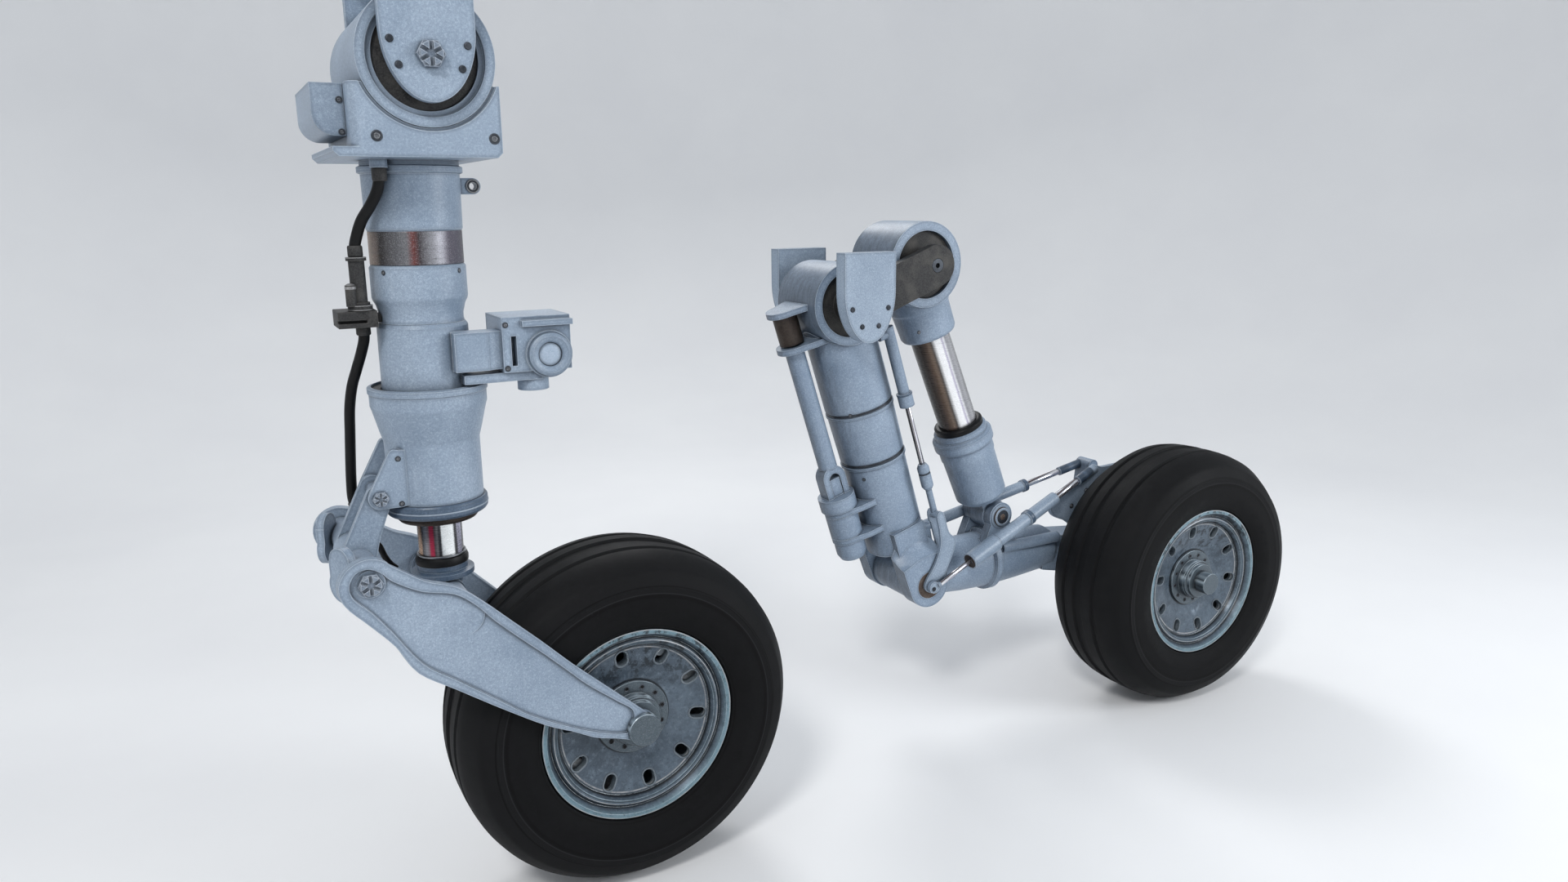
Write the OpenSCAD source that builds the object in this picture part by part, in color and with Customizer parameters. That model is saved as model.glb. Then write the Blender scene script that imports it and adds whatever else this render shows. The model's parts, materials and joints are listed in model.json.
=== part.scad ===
// Landing gear set: a steerable nose gear with a pushed fork, and a levered main gear.
// X points aft, Y across the aircraft, Z up. The origin is the centre of the nose yoke's top face.

/* [Layout] */
// Distance between the nose and main wheel axles along X
wheelbase = 1387; // [1300:1:1600]
// Sideways place of the main leg, measured from the wheels' middle plane
leg_side = 190; // [185:1:230]
// Drop from the nose yoke's top face to the nose trunnion axis
yoke_drop = 170; // [165:1:220]
// Drop from the nose trunnion axis to the nose wheel axle
nose_drop = 1060; // [1060:1:1090]
// Distance of the nose wheel axle behind the nose trunnion axis
nose_trail = 273; // [270:1:290]
// Running clearance on the radius of shafts in their bores
run_gap = 0.05; // [0.03:0.01:0.1]
// Gap between pieces that pass each other
part_gap = 0.4; // [0.3:0.05:0.6]

/* [Wheels] */
// Outer radius of the tyres
tyre_r = 299; // [290:1:305]
// Width of the tyres
tyre_w = 226; // [215:1:228]
// Thickness of the tyre's wall
tyre_wall = 16; // [12:1:22]
// Outer radius of the rim flanges
flange_r = 170; // [165:1:175]
// Distance of the rim flange's face from the wheel's middle plane
flange_y = 98; // [94:1:100]
// Radius of the rim's inner ring
rim_ring_r = 150; // [146:1:152]
// Radius of the circle of lightening holes
hole_ring_r = 117; // [114:1:120]
// Number of lightening holes
hole_count = 10; // [8:1:12]
// Radius of the round ends of a lightening hole
hole_r = 10.5; // [8:0.5:12]
// Length of the straight part of a lightening hole
hole_len = 9; // [4:1:12]
// Radius of the hub's flange
hub_r = 65; // [62:1:68]
// Distance of the hub flange's face from the wheel's middle plane
hub_y = 62; // [58:1:66]
// Radius of the hub's barrel
barrel_r = 44; // [40:1:47]
// Distance of the hub barrel's end from the wheel's middle plane
barrel_y = 92; // [88:1:93]
// Radius of the axles
axle_r = 22; // [21:0.5:27]

/* [Nose yoke and trunnion] */
// Outer radius of the nose drum
drum_r = 92; // [88:1:95]
// Radius of the step in the nose drum's face
drum_step_r = 78; // [75:1:82]
// Radius of the nose drum's bore
drum_bore_r = 70; // [66:1:72]
// Half length of the nose drum
drum_half = 127; // [122:1:128]
// Distance of the yoke plates' inner faces from the middle plane
yoke_in = 135; // [134:1:140]
// Thickness of the yoke plates
yoke_t = 16; // [12:1:20]
// Half width of the yoke plates
yoke_half = 62; // [58:1:66]
// Thickness of the yoke's top bridge
bridge_t = 24; // [18:1:30]
// Radius of the mounting holes in the yoke bridge
mount_hole_r = 8; // [6:0.5:10]
// Spacing of the mounting holes along X
mount_x = 80; // [70:1:90]
// Spacing of the mounting holes along Y
mount_y = 190; // [180:1:200]
// Radius of the trunnion pins
pin_r = 14; // [12:0.5:18]
// Width of the saddle block behind the strut's axis
saddle_aft = 105; // [95:1:110]
// Width of the saddle block ahead of the strut's axis
saddle_fore = 94; // [92:1:100]
// Half depth of the saddle block across the aircraft
saddle_half = 130; // [128:1:131]
// Height of the saddle's top below the trunnion axis
saddle_top = 35; // [30:1:45]
// Height of the saddle block
saddle_h = 83; // [78:1:88]
// Thickness of the flange under the saddle block
saddle_flange = 13; // [10:1:16]
// Length of the side box ahead of the saddle
box_len = 42; // [36:1:50]
// Height of the side box
box_h = 68; // [60:1:75]
// Half depth of the side box
box_half = 92; // [80:1:100]

/* [Nose strut] */
// Distance of the strut's axis ahead of the trunnion axis
strut_fore = 11; // [5:1:15]
// Radius of the strut's upper tube
upper_r = 69.5; // [66:0.5:71]
// Length of the strut's upper tube
upper_len = 100; // [95:1:105]
// Length of the polished band
band_len = 48; // [40:1:52]
// Length of the collar under the band
collar_len = 52; // [46:1:58]
// Length of the waist under the collar
waist_len = 34; // [30:1:38]
// Radius of the waist
waist_r = 60.5; // [58:0.5:63]
// Length of the strut's lower tube
lower_len = 90; // [85:1:96]
// Radius of the strut's lower tube
lower_r = 66; // [64:0.5:68]
// Radius of the spigot that the steering housing turns on
spigot_r = 58; // [54:0.5:60]
// Length of the spigot
spigot_len = 38; // [32:1:40]

/* [Nose steering housing] */
// Outer radius of the flared top
flare_r = 88; // [85:0.5:90]
// Outer radius of the housing's body
house_r = 71; // [68:0.5:72]
// Length of the steering housing
house_len = 182; // [178:1:188]
// Radius of the ring at the housing's lower end
ring_r = 76.5; // [74:0.5:79]
// Radius of the chrome piston
piston_r = 34; // [30:0.5:36]
// Stroke of the piston
stroke = 36; // [20:1:40]
// Height of the fork's pivot below the housing
pivot_drop = 155; // [151:1:160]
// Distance of the bracket plates' outer faces from the middle plane
bracket_half = 50; // [48:1:54]
// Distance of the upper link pin ahead of the strut's axis
link_pin_fore = 90; // [86:1:94]
// Height of the upper link pin above the housing's lower end
link_pin_up = 18; // [15:1:22]

/* [Nose fork] */
// Distance of the front pivot ahead of the strut's axis
front_fore = 128; // [124:1:132]
// Height of the front pivot above the fork's pivot
front_up = 80; // [76:1:84]
// Distance of the fork arm's outer face from the middle plane at the axle
fork_axle_y = 112; // [110:1:114]
// Spread angle of each fork arm
fork_splay = 6.6; // [6.2:0.1:7]
// Thickness of a fork arm's rim
fork_t = 16; // [14:1:17]
// Depth of the pocket in the arm's outer face
fork_pocket = 6; // [3:1:7]
// Radius of the fork arm's front boss
boss_r = 37; // [34:1:40]
// Radius of the fork's cross shafts
cross_r = 13; // [11:0.5:15]
// Radius of the tubes on the cross shafts
cross_tube_r = 25; // [20:1:28]
// Clearance in the drag link's lower eye
link_slack = 2.5; // [2:0.1:3]

/* [Taxi light] */
// Width of the light box
light_w = 105; // [88:1:110]
// Height of the light box
light_h = 86; // [78:1:92]
// Depth of the light box
light_d = 96; // [80:1:110]
// Radius of the lamp's ring
lamp_r = 33; // [29:1:34]
// Radius of the lamp's lens
lens_r = 18; // [15:1:20]

/* [Hoses] */
// Radius of the hydraulic hose
hose_r = 8; // [6:0.5:9]

/* [Main leg] */
// Distance of the main trunnion axis ahead of the main axle
main_fore = 832; // [820:1:840]
// Height of the main trunnion axis above the main axle
main_up = 667; // [660:1:680]
// Distance of the knuckle axis behind the main trunnion axis
knuckle_aft = 193; // [188:1:198]
// Drop of the knuckle axis below the main trunnion axis
knuckle_drop = 617; // [612:1:622]
// Outer radius of the leg's drum
leg_drum_r = 82; // [80:1:86]
// Radius of the leg drum's bore
leg_bore_r = 65; // [62:1:68]
// Half length of the leg's and shock's drums
leg_drum_half = 75; // [70:1:78]
// Radius of the leg's upper tube
leg_r = 73; // [70:0.5:75]
// Radius of the leg's lower tube
leg_low_r = 66; // [64:0.5:68]
// Radius of the knuckle's lugs
knuckle_r = 50; // [47:1:53]
// Half width of the knuckle across its lugs
knuckle_half = 95; // [92:1:98]
// Thickness of the near and far main bracket plates
main_plate_t = 32; // [26:1:34]
// Distance of the main bracket plates' inner faces from the leg's middle plane
main_plate_in = 115; // [114:1:118]
// Half width of the main bracket plates
main_plate_half = 58; // [55:1:62]
// Height of the main bracket plates above the trunnion axis
main_plate_up = 104; // [98:1:110]
// Radius of the screw holes in the tops of the main bracket plates
main_hole_r = 6; // [5:0.5:7]
// Spacing of the screw holes in a main bracket plate
main_hole_x = 70; // [60:1:76]
// Depth of the screw holes
main_hole_deep = 34; // [28:1:40]
// Thickness of the dark link plates
link_plate_t = 20; // [16:1:21]
// Half width of the dark link plates
link_plate_half = 42; // [38:1:45]
// Distance of the side shaft's axis from the leg's axis
shaft_off = 111; // [108:1:116]
// Radius of the side shaft
shaft_r = 20; // [17:0.5:22]
// Distance of the push rod's axis from the leg's axis
rod_off = 66; // [64:1:70]
// Distance of the push rod's axis from the leg's middle plane
rod_side = 80; // [78:1:82]

/* [Main shock strut] */
// Distance of the shock's upper axis behind the main trunnion axis
shock_aft = 184; // [180:1:188]
// Height of the shock's upper axis above the main trunnion axis
shock_up = 71; // [66:1:76]
// Outer radius of the shock's drum
shock_drum_r = 88; // [85:1:90]
// Radius of the shock drum's bore
shock_bore_r = 69; // [66:1:71]
// Radius of the shock's chrome piston
shock_piston_r = 43; // [40:0.5:46]
// Radius of the shock's lower cylinder
shock_cyl_r = 60; // [57:0.5:63]
// Distance of the shock's lower eye behind the knuckle axis
eye_aft = 232; // [228:1:236]
// Height of the shock's lower eye above the knuckle axis
eye_up = 109; // [105:1:113]
// Clearance in the shock's lower eye
eye_slack = 3; // [2.5:0.1:4]

/* [Main arm] */
// Radius of the trailing arm at its thick end
arm_r = 64; // [60:0.5:65]
// Radius of the trailing arm at its thin end
arm_end_r = 52; // [48:0.5:55]
// Length of the trailing arm's tube, measured from the knuckle axis
arm_len = 412; // [400:1:425]
// Thickness of the bolted axle plate
axle_plate_t = 12; // [10:1:14]
// Distance of the axle plate's near face from the wheel's middle plane
axle_plate_y = 134; // [132:1:138]
// Radius of the brake unit in the main wheel
brake_r = 116; // [105:1:122]

/* [Hidden] */

paint = [0.50, 0.60, 0.71];
dark_paint = [0.30, 0.38, 0.47];
rim_paint = [0.27, 0.36, 0.41];
rubber = [0.05, 0.05, 0.055];
chrome = [0.75, 0.75, 0.76];
dark_metal = [0.16, 0.16, 0.17];
black = [0.03, 0.03, 0.03];

// Points of the side view, as [x, z]
nose_trunnion = [0, -yoke_drop];
nose_hub_at = [nose_trail, -yoke_drop - nose_drop];
strut_x = -strut_fore;
saddle_foot = saddle_top + saddle_h + saddle_flange;
upper_z0 = nose_trunnion[1] - saddle_foot;
upper_z1 = upper_z0 - upper_len;
band_z1 = upper_z1 - band_len;
collar_z1 = band_z1 - collar_len;
waist_z1 = collar_z1 - waist_len;
lower_z1 = waist_z1 - lower_len;
house_z0 = lower_z1 - part_gap;
house_z1 = house_z0 - house_len;
fork_pivot = [strut_x, house_z1 - pivot_drop];
front_pivot = [strut_x - front_fore, fork_pivot[1] + front_up];
link_pin_at = [strut_x - link_pin_fore, house_z1 + link_pin_up];
piston_foot = 25;
piston_z1 = fork_pivot[1] + piston_foot + 22;
main_trunnion = [nose_trail + wheelbase - main_fore, nose_hub_at[1] + main_up];
main_hub_at = [nose_trail + wheelbase, nose_hub_at[1]];
knuckle = main_trunnion + [knuckle_aft, -knuckle_drop];
shock_top = main_trunnion + [shock_aft, shock_up];
shock_eye = knuckle + [eye_aft, eye_up];
leg_lean = atan2(knuckle_aft, knuckle_drop);
leg_len = norm([knuckle_aft, knuckle_drop]);
shock_lean = atan2(shock_eye[0] - shock_top[0], shock_top[1] - shock_eye[1]);
shock_len = norm(shock_eye - shock_top);
link_rise = atan2(shock_up, shock_aft);
link_span = norm([shock_aft, shock_up]);
arm_gap = 1.5;
fit_gap = 0.3;
fork_joint_y = fork_axle_y + (nose_hub_at[0] - fork_pivot[0]) * tan(fork_splay);
fork_front_y = fork_axle_y + (nose_hub_at[0] - front_pivot[0]) * tan(fork_splay);
front_seat = fork_front_y - 2.8;
tyre_gap = 1.5;

// Route of the upper hose from its socket to the metal fitting, chosen by hand
hose_upper_route = [[-64, -64, -313.4], [-64, -64, -323], [-68, -59, -344], [-78, -50, -365],
    [-90, -41, -385], [-97, -34, -405], [-101, -30, -422], [-101, -30, -435.7]];
// Route of the lower hose from the valve block to the steering bracket, chosen by hand
hose_lower_route = [[-96, 0, -536.6], [-96, 1, -556], [-101, 10, -579], [-108, 20, -603],
    [-116, 30, -631], [-121, 40, -665], [-123, 50, -705], [-125, 58, -745], [-127, 62, -785],
    [-127, 64, -812], [-122, 64, -830]];

// Points on an arc in the plane of the drawing
function arc(centre, r, from, to, steps) =
    [for (i = [0:steps]) let (a = from + (to - from) * i / steps)
        centre + r * [cos(a), sin(a)]];
// A smooth closed curve through hand-chosen points
function curve_point(a, b, c, d, t) =
    0.5 * ((2 * b) + (c - a) * t + (2 * a - 5 * b + 4 * c - d) * t * t
        + (3 * b - a - 3 * c + d) * t * t * t);
function closed_curve(p, steps) =
    let (n = len(p))
    [for (i = [0:n - 1]) for (k = [0:steps - 1])
        curve_point(p[(i + n - 1) % n], p[i], p[(i + 1) % n], p[(i + 2) % n], k / steps)];
module at(point, y = 0) { translate([point[0], y, point[1]]) children(); }
// A cylinder or tube along Y between two places
module across(y0, y1, r, bore = 0) {
    translate([0, y0, 0]) rotate([-90, 0, 0]) difference() {
        cylinder(r = r, h = y1 - y0, $fn = 96);
        if (bore > 0) translate([0, 0, -1]) cylinder(r = bore, h = y1 - y0 + 2, $fn = 96);
    }
}
// An outline of the side view given a thickness between two places along Y
module slab(y0, y1) {
    translate([0, y1, 0]) rotate([90, 0, 0]) linear_extrude(y1 - y0) children();
}
module turned(points) { rotate_extrude($fn = 96) polygon(points); }
module turned_y(points) { rotate([-90, 0, 0]) turned(points); }
module tube(z_top, z_low, r, bore = 0) {
    translate([0, 0, z_low]) difference() {
        cylinder(r = r, h = z_top - z_low, $fn = 96);
        if (bore > 0) translate([0, 0, -1]) cylinder(r = bore, h = z_top - z_low + 2, $fn = 96);
    }
}
module both_sides() { for (side = [0, 1]) mirror([0, side, 0]) children(); }
// A hexagonal nut with slots in its outer face, standing on Y = 0 and facing -Y
module castle_nut(r, h) {
    slot_w = r * 0.28;
    rotate([90, 0, 0]) difference() {
        union() {
            cylinder(r = r, h = h * 0.7, $fn = 6);
            cylinder(r = r * 0.8, h = h, $fn = 48);
        }
        for (a = [0:60:120]) rotate([0, 0, a + 30])
            translate([-r, -slot_w / 2, h * 0.55]) cube([2 * r, slot_w, h]);
    }
}
// A round hose swept along hand-chosen points
module swept(route, r) {
    sides = 10;
    n = len(route);
    rings = [for (i = [0:n - 1])
        let (d = route[min(i + 1, n - 1)] - route[max(i - 1, 0)], t = d / norm(d),
            u = cross(t, [0, 1, 0]) / norm(cross(t, [0, 1, 0])), v = cross(t, u))
        for (k = [0:sides - 1]) let (a = 360 * k / sides) route[i] + r * (cos(a) * u + sin(a) * v)];
    walls = [for (i = [0:n - 2]) for (k = [0:sides - 1]) let (m = (k + 1) % sides)
        [i * sides + k, i * sides + m, (i + 1) * sides + m, (i + 1) * sides + k]];
    polyhedron(rings, concat(walls, [[for (k = [sides - 1:-1:0]) k]],
        [[for (k = [0:sides - 1]) (n - 1) * sides + k]]), convexity = 6);
}

// Wheels, drawn about their own centre with the axle along Y
module tyre() {
    half = tyre_w / 2;
    seat = rim_ring_r + 2;
    bead = flange_y - 14;
    sag = (flange_r + tyre_r) / 2 - 6;
    groove = 5;
    outer = concat(
        [[seat, -bead], [flange_r - 6, -bead], [flange_r + 1, -bead - 7],
            [flange_r + 3, -flange_y - 2], [flange_r + 22, -half + 5], [sag - 18, -half], [sag + 18, -half],
            [sag + 22, -half + 3], [sag + 40, -half + 10], [tyre_r - 17, -half + 27],
            [tyre_r - 6, -half + 44]],
        [[tyre_r - 2, -50], [tyre_r - 2 - groove, -47], [tyre_r - 1 - groove, -41], [tyre_r - 1, -38],
            [tyre_r, -14], [tyre_r - groove, -11]]);
    inner = [[tyre_r - tyre_wall - 4, -tyre_w / 5], [sag + 22, -half + tyre_wall + 4],
        [flange_r + 12, -half + tyre_wall], [seat + 10, -bead + tyre_wall], [seat, -bead + tyre_wall]];
    far_outer = [for (i = [len(outer) - 1:-1:0]) [outer[i][0], -outer[i][1]]];
    near_inner = [for (i = [len(inner) - 1:-1:0]) [inner[i][0], -inner[i][1]]];
    color(rubber) turned_y(concat(outer, far_outer, near_inner, inner));
}
// The near disc ends at the hub; a nose rim has a second one on its far side
module rim(discs) {
    web = 9;
    dish = hub_y + 14;
    lip = flange_y - 13;
    disc_r0 = hub_r - 8;
    near = [[flange_r, -flange_y], [flange_r, -flange_y + 6], [flange_r - 6, -lip],
        [rim_ring_r + 1, -lip], [rim_ring_r, -lip + 16], [rim_ring_r - 8, -30]];
    far = [for (i = [len(near) - 1:-1:0]) [near[i][0], -near[i][1]]];
    back = [[flange_r - 8, flange_y], [rim_ring_r + 4, flange_y - 12], [rim_ring_r - 2, flange_y - 8],
        [rim_ring_r - 8, flange_y - 10], [rim_ring_r - 14, flange_y - 20], [rim_ring_r - 16, 0]];
    front = [for (i = [len(back) - 1:-1:0]) [back[i][0], -back[i][1]]];
    color(rim_paint) difference() {
        union() {
            turned_y(concat(near, far, back, front));
            for (side = discs) mirror([0, side, 0]) turned_y([[rim_ring_r - 13, -dish - 2],
                [hub_r + 30, -hub_y - 8], [hub_r + 3, -hub_y + 4], [disc_r0, -hub_y + 4],
                [disc_r0, -hub_y + 4 + web], [hub_r + 3, -hub_y + 4 + web],
                [hub_r + 30, -hub_y - 8 + web], [rim_ring_r - 13, -dish - 2 + web]]);
        }
        for (i = [0:hole_count - 1]) rotate([0, i * 360 / hole_count + 8, 0])
            for (side = discs) mirror([0, side, 0])
                slab(-dish - 20, -hub_y + 20) {
                    translate([hole_ring_r - hole_len / 2, -hole_r]) square([hole_len, 2 * hole_r]);
                    translate([hole_ring_r - hole_len / 2, 0]) circle(r = hole_r, $fn = 48);
                    translate([hole_ring_r + hole_len / 2, 0]) circle(r = hole_r, $fn = 48);
                }
    }
}
module hub(discs) {
    inner_r = hub_r - 8 - part_gap;
    color(chrome) difference() {
        union() {
            across(-hub_y + 3, hub_y - 3, inner_r);
            for (side = discs) mirror([0, side, 0]) {
                across(-hub_y - 2, -hub_y + 3.8, hub_r);
                turned_y([[0, -hub_y], [barrel_r, -hub_y], [barrel_r, -barrel_y + 9],
                    [barrel_r - 5, -barrel_y + 8], [barrel_r - 5, -barrel_y], [0, -barrel_y]]);
            }
        }
        across(-barrel_y - 1, barrel_y + 1, axle_r + run_gap);
    }
}
module nose_tyre() { at(nose_hub_at) tyre(); }
module nose_rim() { at(nose_hub_at) rim([0, 1]); }
module nose_hub() { at(nose_hub_at) hub([0, 1]); }
module main_tyre() { at(main_hub_at) tyre(); }
module main_rim() { at(main_hub_at) rim([0]); }
module main_hub() { at(main_hub_at) hub([0]); }

// Bracket plates, pins and bolts that stay with the airframe
module plate_outline(half, up, foot) {
    lift = half * 0.55;
    polygon(concat([[half, up], [-half, up]],
        [for (i = [0:40]) [half * cos(180 + i * 4.5), lift + (foot + lift) * sin(180 + i * 4.5)]]));
}
module yoke_plate() {
    at(nose_trunnion) difference() {
        slab(-yoke_in - yoke_t, -yoke_in) plate_outline(yoke_half, yoke_drop - bridge_t, yoke_half - 1);
        across(-yoke_in - yoke_t - 1, -yoke_in + 1, pin_r + fit_gap);
    }
}
module yoke_near_plate() { color(paint) yoke_plate(); }
module yoke_far_plate() { color(paint) mirror([0, 1, 0]) yoke_plate(); }
module yoke_bridge() {
    color(paint) translate([0, 0, -bridge_t]) difference() {
        translate([-yoke_half - 8, -yoke_in - yoke_t - 8, 0])
            cube([2 * yoke_half + 16, 2 * (yoke_in + yoke_t + 8), bridge_t]);
        for (x = [-mount_x / 2, mount_x / 2]) for (y = [-mount_y / 2, mount_y / 2])
            translate([x, y, -1]) cylinder(r = mount_hole_r, h = bridge_t + 2, $fn = 48);
    }
}
module trunnion_pins() {
    reach = yoke_in + yoke_t;
    nut_r = 19;
    nut_h = 14;
    stop = 6;
    main_reach = main_plate_in + main_plate_t - stop;
    color(dark_metal) {
        at(nose_trunnion) {
            across(-reach, reach, pin_r);
            both_sides() translate([0, -reach, 0]) castle_nut(nut_r, nut_h);
        }
        at(main_trunnion, leg_side) across(-main_reach, main_reach, pin_r);
    }
}
module bolt_head(r, h) { rotate([90, 0, 0]) cylinder(r1 = r, r2 = r * 0.75, h = h, $fn = 24); }
module bracket_bolts() {
    nose_spots = [[-50, 17], [50, 13], [-41, -15], [41, -17]];
    main_spots = [[-41, -3], [41, -3], [-19, -37], [19, -37]];
    head_r = 5.5;
    head_h = 2.5;
    color(dark_metal) {
        for (spot = nose_spots) at(nose_trunnion + spot) both_sides()
            translate([0, -yoke_in - yoke_t, 0]) bolt_head(head_r, head_h);
        for (spot = main_spots) at(main_trunnion + spot, leg_side) both_sides()
            translate([0, -main_plate_in - main_plate_t, 0]) bolt_head(head_r, head_h);
    }
}
module main_plate() {
    y_mid = -main_plate_in - main_plate_t / 2;
    at(main_trunnion, leg_side) difference() {
        slab(-main_plate_in - main_plate_t, -main_plate_in)
            plate_outline(main_plate_half, main_plate_up, main_plate_half * 1.2);
        across(-main_plate_in - main_plate_t + 6, -main_plate_in + 1, pin_r + fit_gap);
        for (x = [-main_hole_x / 2, main_hole_x / 2])
            translate([x, y_mid, main_plate_up - main_hole_deep])
                cylinder(r = main_hole_r, h = main_hole_deep + 1, $fn = 48);
    }
}
module main_bracket_near() { color(paint) main_plate(); }
module main_bracket_far() {
    color(paint) translate([0, 2 * leg_side, 0]) mirror([0, 1, 0]) main_plate();
}

// Nose strut, from the trunnion drum down to the steering spigot
module nose_drum() {
    step = 7;
    color(paint) at(nose_trunnion) difference() {
        across(-drum_half, drum_half, drum_r);
        across(-drum_half - 1, drum_half + 1, drum_bore_r);
        both_sides() across(-drum_half - 1, -drum_half + step, drum_step_r);
    }
}
module nose_drum_hub() {
    sunk = 12;
    collar_r = 30;
    color(dark_metal) at(nose_trunnion) difference() {
        union() {
            across(-drum_half + sunk, drum_half - sunk, drum_bore_r - part_gap);
            across(-yoke_in + part_gap, yoke_in - part_gap, collar_r);
        }
        across(-yoke_in - 1, yoke_in + 1, pin_r + run_gap);
    }
}
module nose_saddle() {
    corner = 12;
    flange_out = 24;
    bevel = 7;
    low = -saddle_top - saddle_h;
    color(paint) at(nose_trunnion) difference() {
        union() {
            translate([0, 0, low]) linear_extrude(saddle_h) {
                translate([-saddle_aft + corner, -saddle_half])
                    square([saddle_aft + saddle_fore - corner, 2 * saddle_half]);
                translate([-saddle_aft, -saddle_half + corner])
                    square([corner, 2 * (saddle_half - corner)]);
                for (y = [-saddle_half + corner, saddle_half - corner])
                    translate([-saddle_aft + corner, y]) circle(r = corner, $fn = 48);
            }
            translate([0, saddle_half, 0]) rotate([90, 0, 0]) linear_extrude(2 * saddle_half)
                polygon([[-saddle_aft - flange_out, low], [saddle_fore, low],
                    [saddle_fore, low - saddle_flange + bevel],
                    [saddle_fore - bevel, low - saddle_flange],
                    [-saddle_aft - flange_out + bevel, low - saddle_flange],
                    [-saddle_aft - flange_out, low - saddle_flange + bevel]]);
        }
        across(-saddle_half - 1, saddle_half + 1, drum_r + part_gap);
        both_sides() across(-saddle_half - 1, -saddle_half + 5, drum_r + 5);
    }
}
module nose_side_box() {
    corner = 28;
    x0 = -saddle_aft - box_len;
    low = -saddle_top - box_h;
    color(paint) at(nose_trunnion) slab(-box_half, box_half)
        polygon(concat([[-saddle_aft, low], [-saddle_aft, low + box_h], [x0, low + box_h]],
            arc([x0 + corner, low + corner], corner, 180, 270, 12)));
}
module nose_upper_tube() {
    ring = 74;
    lug_x = upper_r + 18;
    lug_z = -16 - saddle_foot;
    color(paint) translate([strut_x, 0, 0]) {
        turned([[0, upper_z0], [upper_r, upper_z0], [upper_r, upper_z0 - 7], [ring, upper_z0 - 9],
            [ring, upper_z0 - 17], [upper_r, upper_z0 - 19], [upper_r - 1, upper_z1 + 3],
            [upper_r - 3, upper_z1], [0, upper_z1]]);
        translate([0, 0, upper_z0 - 36]) difference() {
            slab(-7, 7) {
                translate([upper_r - 8, -12]) square([26, 24]);
                translate([lug_x, 0]) circle(r = 12, $fn = 48);
            }
            translate([lug_x, 0, 0]) across(-8, 8, 5);
        }
    }
    color(dark_paint) hose_socket();
}
// The socket seats the upper hose on the tube's near left side
module hose_socket() {
    top = hose_upper_route[0];
    socket_r = 12;
    translate([top[0], top[1], top[2] + 0.4]) cylinder(r = socket_r, h = 12, $fn = 48);
}
module nose_polished_band() {
    color(chrome) translate([strut_x, 0, 0]) tube(upper_z1, band_z1, upper_r - 2.5);
}
module nose_mid_collar() {
    r = upper_r - 0.5;
    color(paint) translate([strut_x, 0, 0]) turned([[0, band_z1], [r - 3, band_z1],
        [r, band_z1 - 4], [r, collar_z1 + 4], [r - 1, collar_z1], [r - 5, collar_z1 - 8],
        [waist_r, collar_z1 - 22], [waist_r, waist_z1 + 4], [waist_r + 1, waist_z1],
        [0, waist_z1]]);
}
module nose_lower_tube() {
    spigot_z = lower_z1 - 15;
    arm_z = waist_z1 - 30;
    color(paint) {
        translate([strut_x, 0, 0]) turned([[0, waist_z1], [lower_r - 4, waist_z1],
            [lower_r, waist_z1 - 6], [lower_r + 0.5, spigot_z], [spigot_r, spigot_z - 1],
            [spigot_r, spigot_z - spigot_len], [0, spigot_z - spigot_len]]);
        light_arm();
    }
}

// Taxi light on its bracket, aft of the strut and towards the near side
light_x0 = 87;
light_y0 = -82;
light_top = -yoke_drop - 359;
lamp_x = light_x0 + light_w - 35;
lamp_z = light_top - 59;
module light_arm() {
    arm_t = 10;
    low = light_top - light_h;
    // The side arm curves out of the tube to the box's face plate
    difference() {
        translate([strut_x + 28, light_y0 + 2, light_top - 78]) cube([light_x0 - strut_x - 28, 40, 58]);
        translate([light_x0 - 4, light_y0 - 18, light_top - 79]) cylinder(r = 26, h = 60, $fn = 48);
        translate([strut_x, 0, 0]) tube(light_top, light_top - 100, lower_r - 6);
    }
    // The shelf under the box
    translate([strut_x + 40, light_y0 + 8, low - 12]) difference() {
        cube([118, 62, 14]);
        translate([-40, -light_y0 - 8, -1]) cylinder(r = lower_r - 6, h = 40, $fn = 96);
    }
    translate([light_x0 + 52, light_y0 + 34, low - 30]) cylinder(r = 24, h = 30, $fn = 64);
}
module taxi_light_box() {
    wall_t = 6;
    low = light_top - light_h + 2.5;
    color(paint) difference() {
        union() {
            translate([light_x0, light_y0, low]) cube([light_w, light_d, light_h - 2.5]);
            translate([light_x0 + 29, light_y0 - 9, light_top - 15]) cube([light_w - 27, 16, 9]);
            translate([lamp_x, light_y0 - 3, lamp_z])
                rotate([-90, 0, 0]) cylinder(r = lamp_r + 3, h = 10, $fn = 96);
        }
        translate([light_x0 + 13, light_y0 - 1, light_top - 74]) cube([8, 24, 45]);
        translate([lamp_x, light_y0 - 4, lamp_z])
            rotate([-90, 0, 0]) cylinder(r = lens_r + 8 + part_gap, h = 40, $fn = 96);
    }
}
module lamp_ring() {
    color(paint) translate([lamp_x, light_y0 - 3 - part_gap, lamp_z])
        turned_y([[lens_r + part_gap, 24], [lens_r + part_gap, -4], [lens_r + 3, -7],
            [lamp_r - 5, -10], [lamp_r, -7], [lamp_r, 0], [lens_r + 8, 0], [lens_r + 8, 24]]);
}
module lamp_lens() {
    color([0.6, 0.68, 0.76]) translate([lamp_x, light_y0 - 3, lamp_z])
        turned_y([[0, -5], [lens_r * 0.6, -4], [lens_r, -2], [lens_r, 22], [0, 22]]);
}

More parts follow.
